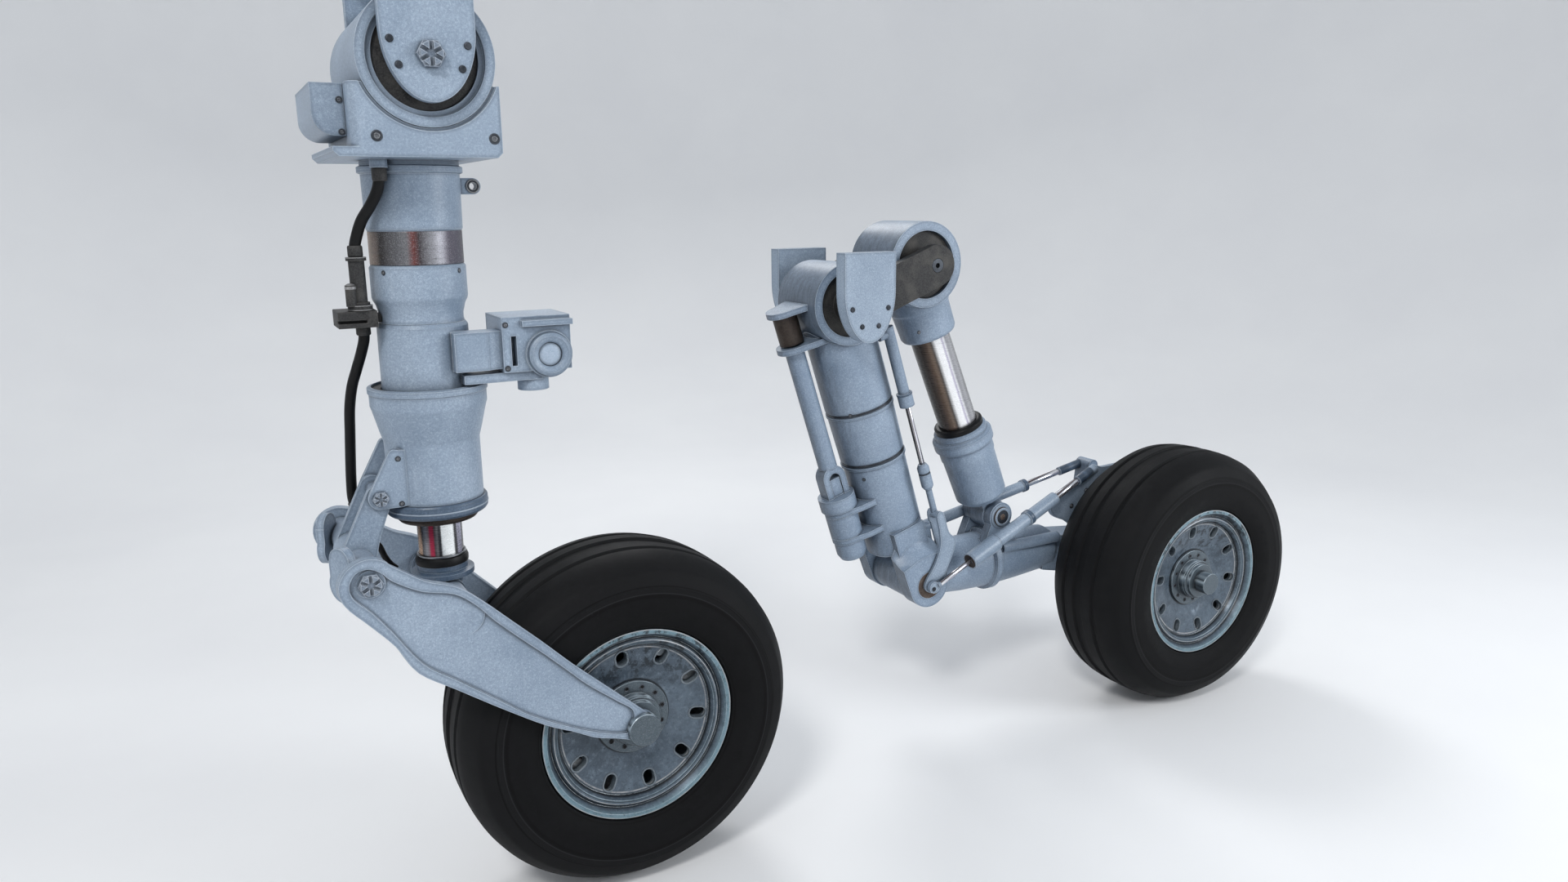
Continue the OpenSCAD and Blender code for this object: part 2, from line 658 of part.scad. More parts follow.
// Hoses with their fitting and valve
module hose_fitting() {
    top = hose_upper_route[len(hose_upper_route) - 1];
    tall = 76;
    color(dark_metal) translate([top[0], top[1], top[2] - tall - 0.3]) {
        cylinder(r = 11, h = tall, $fn = 48);
        translate([0, 0, tall - 5]) cylinder(r = 14, h = 5, $fn = 48);
        cylinder(r = 17, h = 7, $fn = 48);
        translate([-12, -8, 7]) cylinder(r = 7.5, h = 30, $fn = 48);
        translate([0, 0, 7]) cylinder(r = 14, h = 5, $fn = 48);
    }
}
module valve_block() {
    low = hose_lower_route[0][2] + 0.6;
    high = hose_upper_route[len(hose_upper_route) - 1][2] - 76.3;
    color(dark_metal) {
        translate([-134, -44, low]) difference() {
            cube([54, 62, high - low]);
            translate([-1, -1, 7]) cube([40, 12, 4]);
        }
        // The bracket that holds the block to the strut's collar
        difference() {
            translate([-82, -14, low + 4]) cube([30, 30, 12]);
            translate([strut_x, 0, low]) cylinder(r = waist_r + part_gap, h = 30, $fn = 96);
        }
    }
}
module hose_upper() { color(black) swept(hose_upper_route, hose_r); }
module hose_lower() { color(black) swept(hose_lower_route, hose_r); }

// Steering housing with its bracket plates, turning about the strut's axis
bracket_t = 9;
module steering_housing() {
    top = house_z0;
    gland = 60;
    inner = 44;
    pocket = 22;
    pin_hole = 9;
    color(paint) {
        difference() {
            translate([strut_x, 0, 0]) turned([[flare_r - 6, top - 4], [flare_r, top - 6],
                [flare_r, top - 14], [flare_r - 2, top - 16], [flare_r - 2, top - 34],
                [flare_r - 4, top - 40], [house_r + 4, top - 76], [house_r, top - 90],
                [house_r, house_z1], [piston_r + run_gap, house_z1],
                [piston_r + run_gap, house_z1 + gland], [inner, house_z1 + gland],
                [inner, top - pocket - spigot_len + 1], [spigot_r + run_gap, top - pocket - spigot_len + 1],
                [spigot_r + run_gap, top - pocket], [flare_r - 6, top - pocket]]);
        }
        both_sides() difference() {
            translate([0, -bracket_half, 0]) slab(0, bracket_t)
                polygon(concat([[strut_x - 48, house_z1 + 87], [strut_x - 48, house_z1 + 3],
                    [strut_x - 60, house_z1 + 1]], arc(link_pin_at, 17, 260, 150, 8),
                    arc([strut_x - 66, house_z1 + 82], 8, 150, 60, 4)));
            at(link_pin_at) across(-bracket_half - 1, -bracket_half + bracket_t + 1, pin_hole + fit_gap);
            translate([strut_x, 0, house_z1]) cylinder(r = house_r - 1, h = 160, $fn = 96);
        }
    }
}
module steering_ring() {
    ring_h = 22;
    color(dark_paint) translate([strut_x, 0, 0]) turned([[house_r - 20, house_z1],
        [ring_r - 2, house_z1], [ring_r, house_z1 - 3], [ring_r, house_z1 - ring_h + 4],
        [ring_r - 3, house_z1 - ring_h], [house_r - 20, house_z1 - ring_h]]);
}
module steering_seals() {
    top = house_z0;
    color(black) translate([strut_x, 0, 0]) {
        tube(top - 8, top - 20, flare_r - 6 - part_gap, lower_r + 1 + part_gap);
        turned([[piston_r + run_gap, house_z1], [house_r - 20 - part_gap, house_z1],
            [house_r - 20 - part_gap, house_z1 - 22], [house_r - 11, house_z1 - 22],
            [house_r - 11, house_z1 - 29], [house_r - 14, house_z1 - 31],
            [piston_r + run_gap, house_z1 - 31]]);
    }
}
module link_pin() {
    color(dark_metal) at(link_pin_at) {
        across(-bracket_half, bracket_half, 9);
        both_sides() translate([0, -bracket_half, 0]) castle_nut(12, 9);
    }
}

// Piston, drag link and fork
module nose_piston() {
    inside = 84;
    color(chrome) translate([strut_x, 0, 0]) tube(house_z1 + inside, piston_z1, piston_r);
}
module piston_base() {
    eye_r = 27;
    eye_half = 34;
    color(dark_paint) at(fork_pivot) difference() {
        union() {
            turned([[0, piston_foot + 22], [piston_r + 5, piston_foot + 22],
                [piston_r + 5, piston_foot + 13], [piston_r + 14, piston_foot + 11],
                [piston_r + 14, piston_foot + 3], [piston_r - 1, piston_foot + 1],
                [eye_r - 2, 0], [0, 0]]);
            across(-eye_half, eye_half, eye_r);
        }
        across(-eye_half - 1, eye_half + 1, cross_r + run_gap);
    }
}
module drag_link() {
    upper_eye = 19;
    lower_eye = 26;
    half = bracket_half - bracket_t - 1.5;
    leg_w = 11;
    run = front_pivot - link_pin_at;
    long = norm(run);
    tilt = atan2(run[0], -run[1]);
    lower_bore = cross_r + link_slack;
    color(paint) at(link_pin_at) rotate([0, -tilt, 0]) difference() {
        union() {
            both_sides() slab(-half, -half + leg_w) {
                circle(r = upper_eye, $fn = 64);
                translate([0, -long]) circle(r = lower_eye, $fn = 64);
                polygon([[-upper_eye, 0], [-lower_eye + 2, -long * 0.7], [-lower_eye, -long],
                    [lower_eye, -long], [lower_eye - 6, -long * 0.6], [upper_eye, 0]]);
            }
            slab(-half + 2, half - 2) polygon([[-6, -long * 0.36], [-8, -long * 0.62],
                [8, -long * 0.62], [6, -long * 0.36]]);
            translate([0, 0, -long]) across(-half, half, lower_eye);
        }
        across(-half - 1, half + 1, 9 + run_gap);
        translate([0, 0, -long]) across(-half - 1, half + 1, lower_bore);
    }
}
// Outline of a fork arm and of its pocket, drawn for a front pivot 412 ahead of and 348 above the axle
fork_outline = closed_curve([[27, 4], [20, 17], [8, 27], [-19, 53], [-57, 89], [-118, 148], [-164, 196],
    [-208, 240], [-251, 283], [-292, 318], [-335, 336], [-372, 362], [-408, 385], [-438, 378],
    [-454, 354], [-448, 324], [-420, 290], [-386, 248], [-358, 200], [-304, 158], [-240, 109],
    [-172, 60], [-124, 33], [-87, 11], [-51, -2], [-26, -13], [-8, -26], [14, -23]], 4);
pocket_outline = closed_curve([[-20, 8], [-18, 38], [-45, 63], [-95, 106], [-131, 143], [-165, 178],
    [-210, 222], [-242, 255], [-266, 283], [-297, 308], [-342, 322], [-380, 345], [-398, 363],
    [-414, 371], [-430, 368], [-440, 352], [-436, 332], [-416, 309], [-390, 273], [-350, 212],
    [-303, 173], [-240, 121], [-195, 84], [-136, 47], [-87, 21], [-36, 2]], 4);
// The arm's own plane stands at the splay angle, so its outline is longer there
function in_arm(p) =
    [(p[0] * (nose_hub_at[0] - front_pivot[0]) / 412 - fork_axle_y * sin(fork_splay)) / cos(fork_splay),
        p[1] * (front_pivot[1] - nose_hub_at[1]) / 348];
fork_own = [for (p = fork_outline) in_arm(p)];
pocket_own = [for (p = pocket_outline) in_arm(p)];
module fork_arm() {
    boss_at = front_pivot - nose_hub_at;
    at(nose_hub_at) difference() {
        union() {
            rotate([0, 0, fork_splay]) difference() {
                union() {
                    slab(-fork_axle_y, -fork_axle_y + fork_t) polygon(fork_own);
                    at([(boss_at[0] - fork_axle_y * sin(fork_splay)) / cos(fork_splay), boss_at[1]])
                        across(-fork_axle_y, -fork_axle_y + fork_t, boss_r);
                }
                slab(-fork_axle_y - 1, -fork_axle_y + fork_pocket) polygon(pocket_own);
            }
            across(-fork_axle_y - 2, -fork_axle_y + fork_t + 3, axle_r + 5);
            at(front_pivot - nose_hub_at) across(-front_seat, -fork_front_y + fork_t + 4, 20.5);
            at(fork_pivot - nose_hub_at) across(-fork_joint_y + 6, -fork_joint_y + fork_t + 6, 30);
        }
        // Relief on the inner face, clear of the tyre's sidewall
        difference() {
            across(-tyre_w / 2 - tyre_gap, 0, tyre_r + 5);
            across(-tyre_w / 2 - tyre_gap - 1, 1, flange_r + 10);
        }
        across(-fork_axle_y - 3, -fork_axle_y + fork_t + 4, axle_r + fit_gap);
        at(front_pivot - nose_hub_at)
            across(-fork_front_y - 9, -fork_front_y + fork_t + 9, cross_r + fit_gap);
        at(fork_pivot - nose_hub_at)
            across(-fork_joint_y + 9, -fork_joint_y + fork_t + 9, cross_r + fit_gap);
    }
}
module fork_near_arm() { color(paint) fork_arm(); }
module fork_far_arm() { color(paint) mirror([0, 1, 0]) fork_arm(); }
module fork_cross_shafts() {
    nut_r = 17.5;
    nut_h = 11;
    front_in = fork_front_y - fork_t - 4;
    joint_in = fork_joint_y - fork_t - 6;
    link_out = bracket_half;
    base_out = 34 + part_gap;
    color(dark_paint) {
        at(front_pivot) {
            across(-front_seat, front_seat, cross_r);
            both_sides() across(-front_in, -link_out, cross_tube_r - 3);
            both_sides() translate([0, -front_seat, 0]) castle_nut(nut_r, nut_h);
        }
        at(fork_pivot) {
            across(-fork_joint_y + 10, fork_joint_y - 10, cross_r);
            both_sides() across(-joint_in, -base_out, cross_tube_r);
        }
    }
}
// Towing lugs on the fork's front shaft, turned outwards
module tow_lugs() {
    lug_t = 13;
    turn = 58;
    reach = 26;
    color(paint) both_sides() at(front_pivot, -84) difference() {
        rotate([0, 0, -turn]) translate([0, -reach, 0]) slab(-lug_t, 0) {
            translate([0, -14]) circle(r = 25, $fn = 64);
            translate([0, 22]) circle(r = 21, $fn = 64);
            translate([-22, -14]) square([44, 36]);
        }
        across(-90, 90, cross_tube_r - 3 + part_gap);
    }
}
module nose_axle() {
    out = fork_axle_y + 3;
    color(dark_metal) at(nose_hub_at) across(-out, out, axle_r);
}

// Main leg, drawn along its own axis with the trunnion at the top
module on_leg() { at(main_trunnion, leg_side) rotate([0, -leg_lean, 0]) children(); }
module leg_drum() {
    color(paint) difference() {
        union() {
            at(main_trunnion, leg_side) across(-leg_drum_half, leg_drum_half, leg_drum_r);
            on_leg() shaft_ears(-bush_top - ear_t);
        }
        at(main_trunnion, leg_side) across(-leg_drum_half - 1, leg_drum_half + 1, leg_bore_r);
    }
}
bush_top = 14;
module leg_drum_hub() {
    sunk = 9;
    collar_r = 34;
    color(dark_metal) at(main_trunnion, leg_side) difference() {
        union() {
            across(-leg_drum_half + sunk, leg_drum_half - sunk, leg_bore_r - part_gap);
            across(-link_plate_in, link_plate_in, collar_r);
        }
        across(-main_plate_in - 1, main_plate_in + 1, pin_r + run_gap);
    }
}
link_plate_in = main_plate_in - link_plate_t - 2;
module leg_tube() {
    groove = 2;
    cut1 = 228;
    cut2 = 345;
    foot = leg_len - knuckle_r - 26;
    lug_in = 58;
    web_r = leg_low_r - 4;
    color(paint) on_leg() {
        difference() {
            union() {
                turned([[0, -30], [leg_r, -30], [leg_r, -cut1 + 5], [leg_r - groove - 1, -cut1 + 1],
                    [leg_r - groove - 1, -cut1 - 2], [leg_r - 1, -cut1 - 6], [leg_r - 3, -cut2 + 5],
                    [leg_r - groove - 4, -cut2 + 1], [leg_r - groove - 4, -cut2 - 2],
                    [leg_low_r + 2, -cut2 - 6], [leg_low_r, -foot + 6], [leg_low_r - 6, -foot],
                    [0, -foot]]);
                // The lugs swell out of the tube's round end
                intersection() {
                    both_sides() slab(-knuckle_half, -lug_in) {
                        translate([0, -leg_len]) circle(r = knuckle_r, $fn = 96);
                        polygon([[-knuckle_r, -leg_len], [-web_r + 6, -foot + 40],
                            [web_r - 6, -foot + 40], [knuckle_r, -leg_len]]);
                    }
                    turned([[0, -foot + 44], [leg_low_r - 1, -foot + 40], [leg_low_r + 5, -foot + 22],
                        [leg_low_r + 16, -foot + 4], [leg_low_r + 32, -foot - 12], [125, -foot - 24],
                        [125, -leg_len - knuckle_r - 5], [0, -leg_len - knuckle_r - 5]]);
                }
                // The lugs' shoulders grow out of the tube
                both_sides() translate([0, -lug_in, 0]) slab(-leg_low_r * 0.2, 36)
                    polygon([[-web_r + 22, -foot], [-web_r + 22, -foot + 60],
                        [web_r - 22, -foot + 60], [web_r - 22, -foot]]);
                for (t = ear_places) shaft_ears(t);
            }
            rotate([0, leg_lean, 0]) across(-leg_drum_half - 60, leg_drum_half + 60, leg_drum_r + part_gap);
            translate([0, 0, -leg_len]) across(-knuckle_half - 1, knuckle_half + 1, knuckle_pin_r);
            for (t = ear_places) translate([-shaft_off, 0, -t - 30])
                cylinder(r = shaft_r * 0.6 + fit_gap, h = 60, $fn = 64);
        }
    }
}
knuckle_pin_r = 30;
knuckle_stub_r = 6;
knuckle_stub = knuckle_half + 9;
ear_places = [51, 424, 488];
ear_t = 12;
// A leaf-shaped ear that carries the side shaft
module shaft_ears(t) {
    width = 35;
    translate([0, 0, -t - ear_t]) linear_extrude(ear_t)
        polygon(concat(arc([-shaft_off, 0], width, 90, 270, 16),
            [[-shaft_off + 30, -width - 10], [-30, -width - 14], [-30, width + 14],
                [-shaft_off + 30, width + 10]]));
}
module leg_link_plates() {
    color(dark_metal) at(main_trunnion, leg_side) rotate([0, -link_rise, 0]) both_sides() difference() {
        slab(-link_plate_in - link_plate_t, -link_plate_in) {
            circle(r = link_plate_half, $fn = 96);
            translate([link_span, 0]) circle(r = link_plate_half, $fn = 96);
            translate([0, -link_plate_half]) square([link_span, 2 * link_plate_half]);
        }
        across(-main_plate_in, -link_plate_in + 1, pin_r + run_gap);
        translate([link_span, 0, 0]) across(-main_plate_in, -link_plate_in + 1, pin_r + fit_gap);
    }
}
module leg_link_pin() {
    socket = 5;
    reach = link_plate_in + link_plate_t;
    color(dark_metal) at(shock_top, leg_side) difference() {
        across(-reach, reach, pin_r);
        both_sides() across(-reach - 1, -reach + 8, socket);
    }
}
// The side shaft turns commands down the leg's front
module side_shaft() {
    clevis_t = 359;
    color(paint) on_leg() translate([-shaft_off, 0, 0]) {
        tube(-ear_places[0] + 3, -clevis_t + 40, shaft_r * 0.6);
        tube(-ear_places[0] - ear_t - part_gap, -clevis_t + 30, shaft_r);
        // The slotted clevis
        difference() {
            translate([0, 0, -clevis_t - 34]) union() {
                translate([-27, -17, 0]) cube([54, 34, 42]);
                translate([0, 17, 42]) rotate([90, 0, 0]) cylinder(r = 27, h = 34, $fn = 64);
            }
            translate([-13, -30, -clevis_t - 35]) cube([26, 60, 40]);
            translate([0, 30, -clevis_t + 5]) rotate([90, 0, 0]) cylinder(r = 13, h = 60, $fn = 64);
        }
        translate([-12, -15, -clevis_t - 36]) cube([24, 30, 42]);
        tube(-clevis_t - 34, -ear_places[1] + part_gap, 40);
        tube(-ear_places[1] + 8, -ear_places[2] - ear_t - 2, shaft_r * 0.6);
        tube(-ear_places[1] - ear_t - part_gap, -ear_places[2] + part_gap, 35);
        turned([[0, -ear_places[2] - ear_t - part_gap], [33, -ear_places[2] - ear_t - part_gap],
            [33, -ear_places[2] - ear_t - 30], [28, -ear_places[2] - ear_t - 42],
            [14, -ear_places[2] - ear_t - 49], [0, -ear_places[2] - ear_t - 49]]);
    }
}
module side_shaft_bush() {
    bush_r = 25;
    color(dark_metal) on_leg() translate([-shaft_off, 0, 0])
        tube(bush_top, -ear_places[0] + part_gap + 3, bush_r);
}
module push_rod() {
    color(paint) on_leg() translate([rod_off, -rod_side, 0]) {
        tube(-72, -222, 12);
        tube(-218, -248, 16);
        tube(-248, -386, 5.5);
        turned([[0, -384], [9, -384], [13, -392], [13, -402], [11, -405], [13, -408], [13, -436],
            [9, -443], [0, -443]]);
        tube(-443, -512, 7);
        translate([-20, 0, -86]) rotate([0, 90, 0]) translate([0, 0, -6]) cylinder(r = 9, h = 26, $fn = 48);
    }
}
// Twin plates that carry the push rod's motion to the knuckle
module knuckle_plates() {
    plate_t = 7;
    outline = closed_curve([[58, -500], [74, -500], [76, -548], [88, -572], [76, -596], [48, -628],
        [18, -660], [0, -664], [-16, -650], [-12, -632], [22, -604], [46, -572], [54, -540]], 4);
    color(paint) on_leg() difference() {
        union() {
            translate([0, -rod_side - 16, 0]) slab(-plate_t, 0) polygon(outline);
            translate([0, -rod_side + 16, 0]) difference() {
                slab(-plate_t, 0) polygon(outline);
                translate([-62, -20, -leg_len - 60]) cube([120, 40, 184]);
            }
            translate([rod_off, 0, -504]) across(-rod_side - 17, -rod_side + 10, 8);
        }
        translate([0, 0, -leg_len]) across(-rod_side - 60, -rod_side, knuckle_stub_r + 1);
    }
}

// Shock strut between the link plates and the trailing arm
module on_shock() { at(shock_top, leg_side) rotate([0, -shock_lean, 0]) children(); }
module shock_drum() {
    color(paint) at(shock_top, leg_side) difference() {
        across(-leg_drum_half, leg_drum_half, shock_drum_r);
        across(-leg_drum_half - 1, leg_drum_half + 1, shock_bore_r);
    }
    color(paint) on_shock() difference() {
        turned([[0, -40], [68, -60], [68, -92], [65, -98], [63, -102], [61, -158], [58, -164],
            [0, -164]]);
        rotate([0, shock_lean, 0]) across(-leg_drum_half - 60, leg_drum_half + 60, shock_drum_r - 1);
    }
}
module shock_drum_hub() {
    sunk = 9;
    collar_r = 34;
    color(dark_metal) at(shock_top, leg_side) difference() {
        union() {
            across(-leg_drum_half + sunk, leg_drum_half - sunk, shock_bore_r - part_gap);
            across(-link_plate_in + part_gap, link_plate_in - part_gap, collar_r);
        }
        across(-link_plate_in, link_plate_in, pin_r + run_gap);
    }
}
module shock_piston() {
    top = 164;
    inside = 506;
    color(chrome) on_shock() tube(-top, -inside, shock_piston_r);
}
module shock_cylinder() {
    lip = 398;
    foot = shock_len - 42;
    bore_end = 578;
    eye_r = 34;
    eye_half = 27;
    color(paint) on_shock() difference() {
        union() {
            turned([[0, -lip], [shock_cyl_r - 6, -lip], [shock_cyl_r, -lip - 4],
                [shock_cyl_r, -lip - 12], [shock_cyl_r - 2, -lip - 14], [shock_cyl_r + 8, -lip - 20],
                [shock_cyl_r + 8, -lip - 40], [shock_cyl_r + 2, -lip - 44], [shock_cyl_r + 2, -lip - 68],
                [shock_cyl_r, -lip - 72], [shock_cyl_r - 2, -foot + 12], [shock_cyl_r - 12, -foot],
                [0, -foot]]);
            translate([0, 0, -shock_len]) across(-eye_half, eye_half, eye_r);
            translate([-24, -eye_half, -shock_len]) cube([48, 2 * eye_half, 50]);
        }
        tube(-lip + 1, -bore_end, shock_piston_r + run_gap);
        translate([0, 0, -shock_len]) across(-eye_half - 1, eye_half + 1, eye_pin_r + eye_slack);
    }
}
eye_pin_r = 16;
module shock_seal() {
    lip = 398;
    color(black) on_shock() turned([[shock_piston_r + run_gap, -lip + 14], [shock_cyl_r - 10, -lip + 14],
        [shock_cyl_r - 5, -lip + 10], [shock_cyl_r - 5, -lip], [shock_piston_r + run_gap, -lip]]);
}

// Trailing arm with its axle, plate, brake and rods
module on_arm() { at(knuckle, leg_side) children(); }
module trailing_arm() {
    root_r = 46;
    root_half = 58 - arm_gap;
    drop = -3;
    axle_at = main_hub_at - knuckle;
    carrier_y0 = axle_plate_y + axle_plate_t - leg_side + part_gap;
    carrier_y1 = 34;
    ear_in = 27 + part_gap;
    ear_out = 50;
    color(paint) on_arm() difference() {
        union() {
            across(-root_half, root_half, root_r);
            translate([0, 0, drop]) rotate([0, 90, 0]) turned([[0, 40], [44, 40], [52, 62],
                [arm_r - 4, 100], [arm_r - 1, 140], [arm_r, 206], [arm_r + 8, 211],
                [arm_r + 8, 226], [arm_r, 231], [arm_r - 4, 300], [arm_end_r, arm_len - 12],
                [arm_end_r - 6, arm_len], [0, arm_len]]);
            translate([236, -50, 33]) rotate([0, 90, 0]) cylinder(r = 13, h = arm_len - 242, $fn = 64);
            both_sides() translate([0, -ear_out, 0]) slab(0, ear_out - ear_in) {
                translate([eye_aft, eye_up]) circle(r = 32, $fn = 96);
                polygon([[eye_aft - 52, 34], [eye_aft - 26, eye_up - 14], [eye_aft + 26, eye_up - 14],
                    [eye_aft + 52, 34]]);
            }
            // The carrier runs from the arm's end down to the axle
            slab(carrier_y0, carrier_y1) {
                translate([axle_at[0], axle_at[1]]) circle(r = 56, $fn = 96);
                polygon([[arm_len - 40, drop + 40], [axle_at[0] + 10, axle_at[1] + 55],
                    [axle_at[0] - 12, axle_at[1] - 54], [arm_len - 40, drop - 44]]);
            }
            translate([92, 60, 0]) slab(-12, 12) {
                polygon([[-26, 20], [-12, 84], [12, 84], [26, 20]]);
                translate([0, 78]) circle(r = 14, $fn = 48);
            }
            // The carrier's ear holds the far rod's end
            slab(carrier_y1 - 12, carrier_y1 + 34) {
                polygon([[548, -20], [572, 165], [600, 165], [656, -20]]);
                translate([586, 168]) circle(r = 15, $fn = 48);
            }
        }
        across(-root_half - 1, root_half + 1, knuckle_pin_r + fit_gap);
        at([eye_aft, eye_up]) across(-ear_out - 1, ear_out + 1, eye_pin_r + fit_gap);
        at(axle_at) across(carrier_y0 - 1, carrier_y1 + 1, axle_r + fit_gap);
    }
}
module arm_pins() {
    cap = 6;
    color(dark_metal) on_arm() {
        difference() {
            across(-knuckle_half, knuckle_half + cap, knuckle_pin_r - run_gap);
            across(knuckle_half - 4, knuckle_half + cap + 1, knuckle_pin_r - 10);
        }
        across(-knuckle_stub, -knuckle_half, knuckle_stub_r);
        at([eye_aft, eye_up]) {
            across(-50, 50, eye_pin_r);
            both_sides() across(-50 - cap, -50, eye_pin_r + 6, 7);
        }
    }
}
module main_axle() {
    out = 118;
    far = leg_side + 34;
    color(chrome) at(main_hub_at) across(-out, far, axle_r);
}
module axle_plate() {
    color(paint) at(main_hub_at) difference() {
        slab(axle_plate_y, axle_plate_y + axle_plate_t)
            polygon(closed_curve([[-238, 130], [-255, 142], [-262, 160], [-252, 179], [-226, 194],
                [-166, 209], [-141, 232], [-122, 244], [-102, 238], [-55, 239], [30, 240], [88, 226],
                [108, 190], [96, 100], [80, 10], [50, -66], [-50, -74], [-110, 20], [-196, 108]], 4));
        across(axle_plate_y - 1, axle_plate_y + axle_plate_t + 1, axle_r + fit_gap);
    }
}
module brake_unit() {
    far = axle_plate_y;
    color(dark_metal) at(main_hub_at) difference() {
        turned_y([[axle_r + 4, hub_y + 2], [brake_r - 8, hub_y + 2], [brake_r, hub_y + 8],
            [brake_r, flange_y - 12], [brake_r - 6, flange_y - 6], [brake_r - 6, far],
            [axle_r + 4, far]]);
        for (a = [0:30:330]) rotate([0, a, 0]) translate([brake_r - 18, 0, 0])
            across(hub_y, hub_y + 12, 8);
    }
}
// Two rods from the knuckle side to the axle plate, each along its own line
module rod_between(p, q, steps) {
    run = q - p;
    long = norm(run);
    turn = atan2(run[1], run[0]);
    fall = acos(run[2] / long);
    translate(p) rotate([0, fall, turn]) for (s = steps)
        translate([0, 0, s[0] * long]) cylinder(r = s[2], h = (s[1] - s[0]) * long, $fn = 48);
}
module brake_rods() {
    near_start = [8, -knuckle_stub - 9.8, 4];
    near_end = [517, -50, 186];
    far_start = [92, 60, 78];
    far_end = [586, 60, 170];
    color(paint) on_arm() {
        across(-knuckle_stub - 10, -knuckle_stub, 13);
        rod_between(near_start, near_end, [[0, 0.2, 5.5], [0.19, 0.345, 19], [0.34, 0.55, 15],
            [0.54, 0.565, 17.5], [0.56, 0.725, 15], [0.715, 0.885, 8], [0.88, 1, 11]]);
        rod_between(far_start, far_end, [[0, 0.605, 13], [0.6, 0.625, 15], [0.615, 0.845, 7.5],
            [0.84, 1, 10]]);
    }
}

yoke_near_plate();
yoke_far_plate();
yoke_bridge();
trunnion_pins();
bracket_bolts();
main_bracket_near();
main_bracket_far();
nose_drum();
nose_drum_hub();
nose_saddle();
nose_side_box();
nose_upper_tube();
nose_polished_band();
nose_mid_collar();
nose_lower_tube();
taxi_light_box();
lamp_ring();
lamp_lens();
hose_fitting();
valve_block();
hose_upper();
steering_housing();
steering_ring();
steering_seals();
link_pin();
hose_lower();
nose_piston();
piston_base();
drag_link();
fork_near_arm();
fork_far_arm();
fork_cross_shafts();
tow_lugs();
nose_axle();
nose_tyre();
nose_rim();
nose_hub();
leg_drum();
leg_drum_hub();
leg_tube();
leg_link_plates();
leg_link_pin();
side_shaft();
side_shaft_bush();
push_rod();
knuckle_plates();
shock_drum();
shock_drum_hub();
shock_piston();
shock_cylinder();
shock_seal();
trailing_arm();
arm_pins();
main_axle();
axle_plate();
brake_unit();
brake_rods();
main_tyre();
main_rim();
main_hub();
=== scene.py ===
"""Looks of the landing gear set: materials, small parts, camera, light and floor."""

import json
import math

import bmesh
import bpy
from mathutils import Matrix, Vector


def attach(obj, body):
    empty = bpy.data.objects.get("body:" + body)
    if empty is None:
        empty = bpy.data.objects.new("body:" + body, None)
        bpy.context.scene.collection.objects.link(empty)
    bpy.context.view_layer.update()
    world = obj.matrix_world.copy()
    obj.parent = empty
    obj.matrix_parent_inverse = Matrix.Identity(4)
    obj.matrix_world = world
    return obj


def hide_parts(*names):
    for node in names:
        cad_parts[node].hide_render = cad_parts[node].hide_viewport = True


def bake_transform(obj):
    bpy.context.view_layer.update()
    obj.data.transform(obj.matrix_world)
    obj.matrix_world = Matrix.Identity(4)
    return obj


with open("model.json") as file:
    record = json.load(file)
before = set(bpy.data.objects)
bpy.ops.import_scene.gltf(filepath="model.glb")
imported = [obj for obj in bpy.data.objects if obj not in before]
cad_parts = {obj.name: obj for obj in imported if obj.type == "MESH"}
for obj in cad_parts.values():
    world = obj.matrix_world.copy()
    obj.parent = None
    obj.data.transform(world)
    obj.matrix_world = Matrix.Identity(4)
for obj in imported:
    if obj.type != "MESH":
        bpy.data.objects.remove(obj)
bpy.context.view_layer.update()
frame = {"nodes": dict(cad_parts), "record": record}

# Places on the parts, in metres
FLOOR_Z = -1.5292
NOSE_HUB = Vector((0.273, 0.0, -1.230))
MAIN_HUB = Vector((1.660, 0.0, -1.230))
LEG_TOP = Vector((0.828, 0.190, -0.563))
KNUCKLE = Vector((1.021, 0.190, -1.180))
SHOCK_EYE = Vector((1.253, 0.190, -1.071))
STRUT_X = -0.011
FORK_END_Y = 0.1215
# Ways: down the main leg, across it, straight up and down, and toward the photograph's side
LEG_DOWN = (KNUCKLE - LEG_TOP).normalized()
LEG_ACROSS = Vector((-LEG_DOWN.z, 0.0, LEG_DOWN.x))
UP = Vector((0.0, 0.0, 1.0))
DOWN = Vector((0.0, 0.0, -1.0))
NEAR = Vector((0.0, -1.0, 0.0))

# The camera, fitted to the photograph: place in metres, turns in degrees, lens and sensor in millimetres
CAMERA_PLACE = (-0.311, -1.676, -0.370)
CAMERA_YAW, CAMERA_PITCH, CAMERA_ROLL = 28.812, 12.4776, 0.6033
CAMERA_LENS, CAMERA_SENSOR = 24.45, 36.0


def place_camera():
    """The photograph's view."""
    yaw, pitch, roll = (math.radians(turn) for turn in (CAMERA_YAW, CAMERA_PITCH, CAMERA_ROLL))
    right = Vector((math.cos(yaw), -math.sin(yaw), 0.0))
    ahead = Vector((math.sin(yaw) * math.cos(pitch), math.cos(yaw) * math.cos(pitch), -math.sin(pitch)))
    up = right.cross(ahead)
    turned_right = right * math.cos(roll) + up * -math.sin(roll)
    turned_up = right * math.sin(roll) + up * math.cos(roll)
    camera = bpy.data.objects.new("camera", bpy.data.cameras.new("camera"))
    bpy.context.scene.collection.objects.link(camera)
    camera.data.lens = CAMERA_LENS
    camera.data.sensor_width = CAMERA_SENSOR
    camera.data.clip_start = 0.05
    camera.data.clip_end = 60.0
    rows = Matrix((turned_right, turned_up, -ahead))
    camera.matrix_world = Matrix.Translation(CAMERA_PLACE) @ rows.transposed().to_4x4()
    bpy.context.scene.camera = camera


def shade(colour, share):
    """A colour made darker or lighter by a share."""
    return tuple(c * share for c in colour)


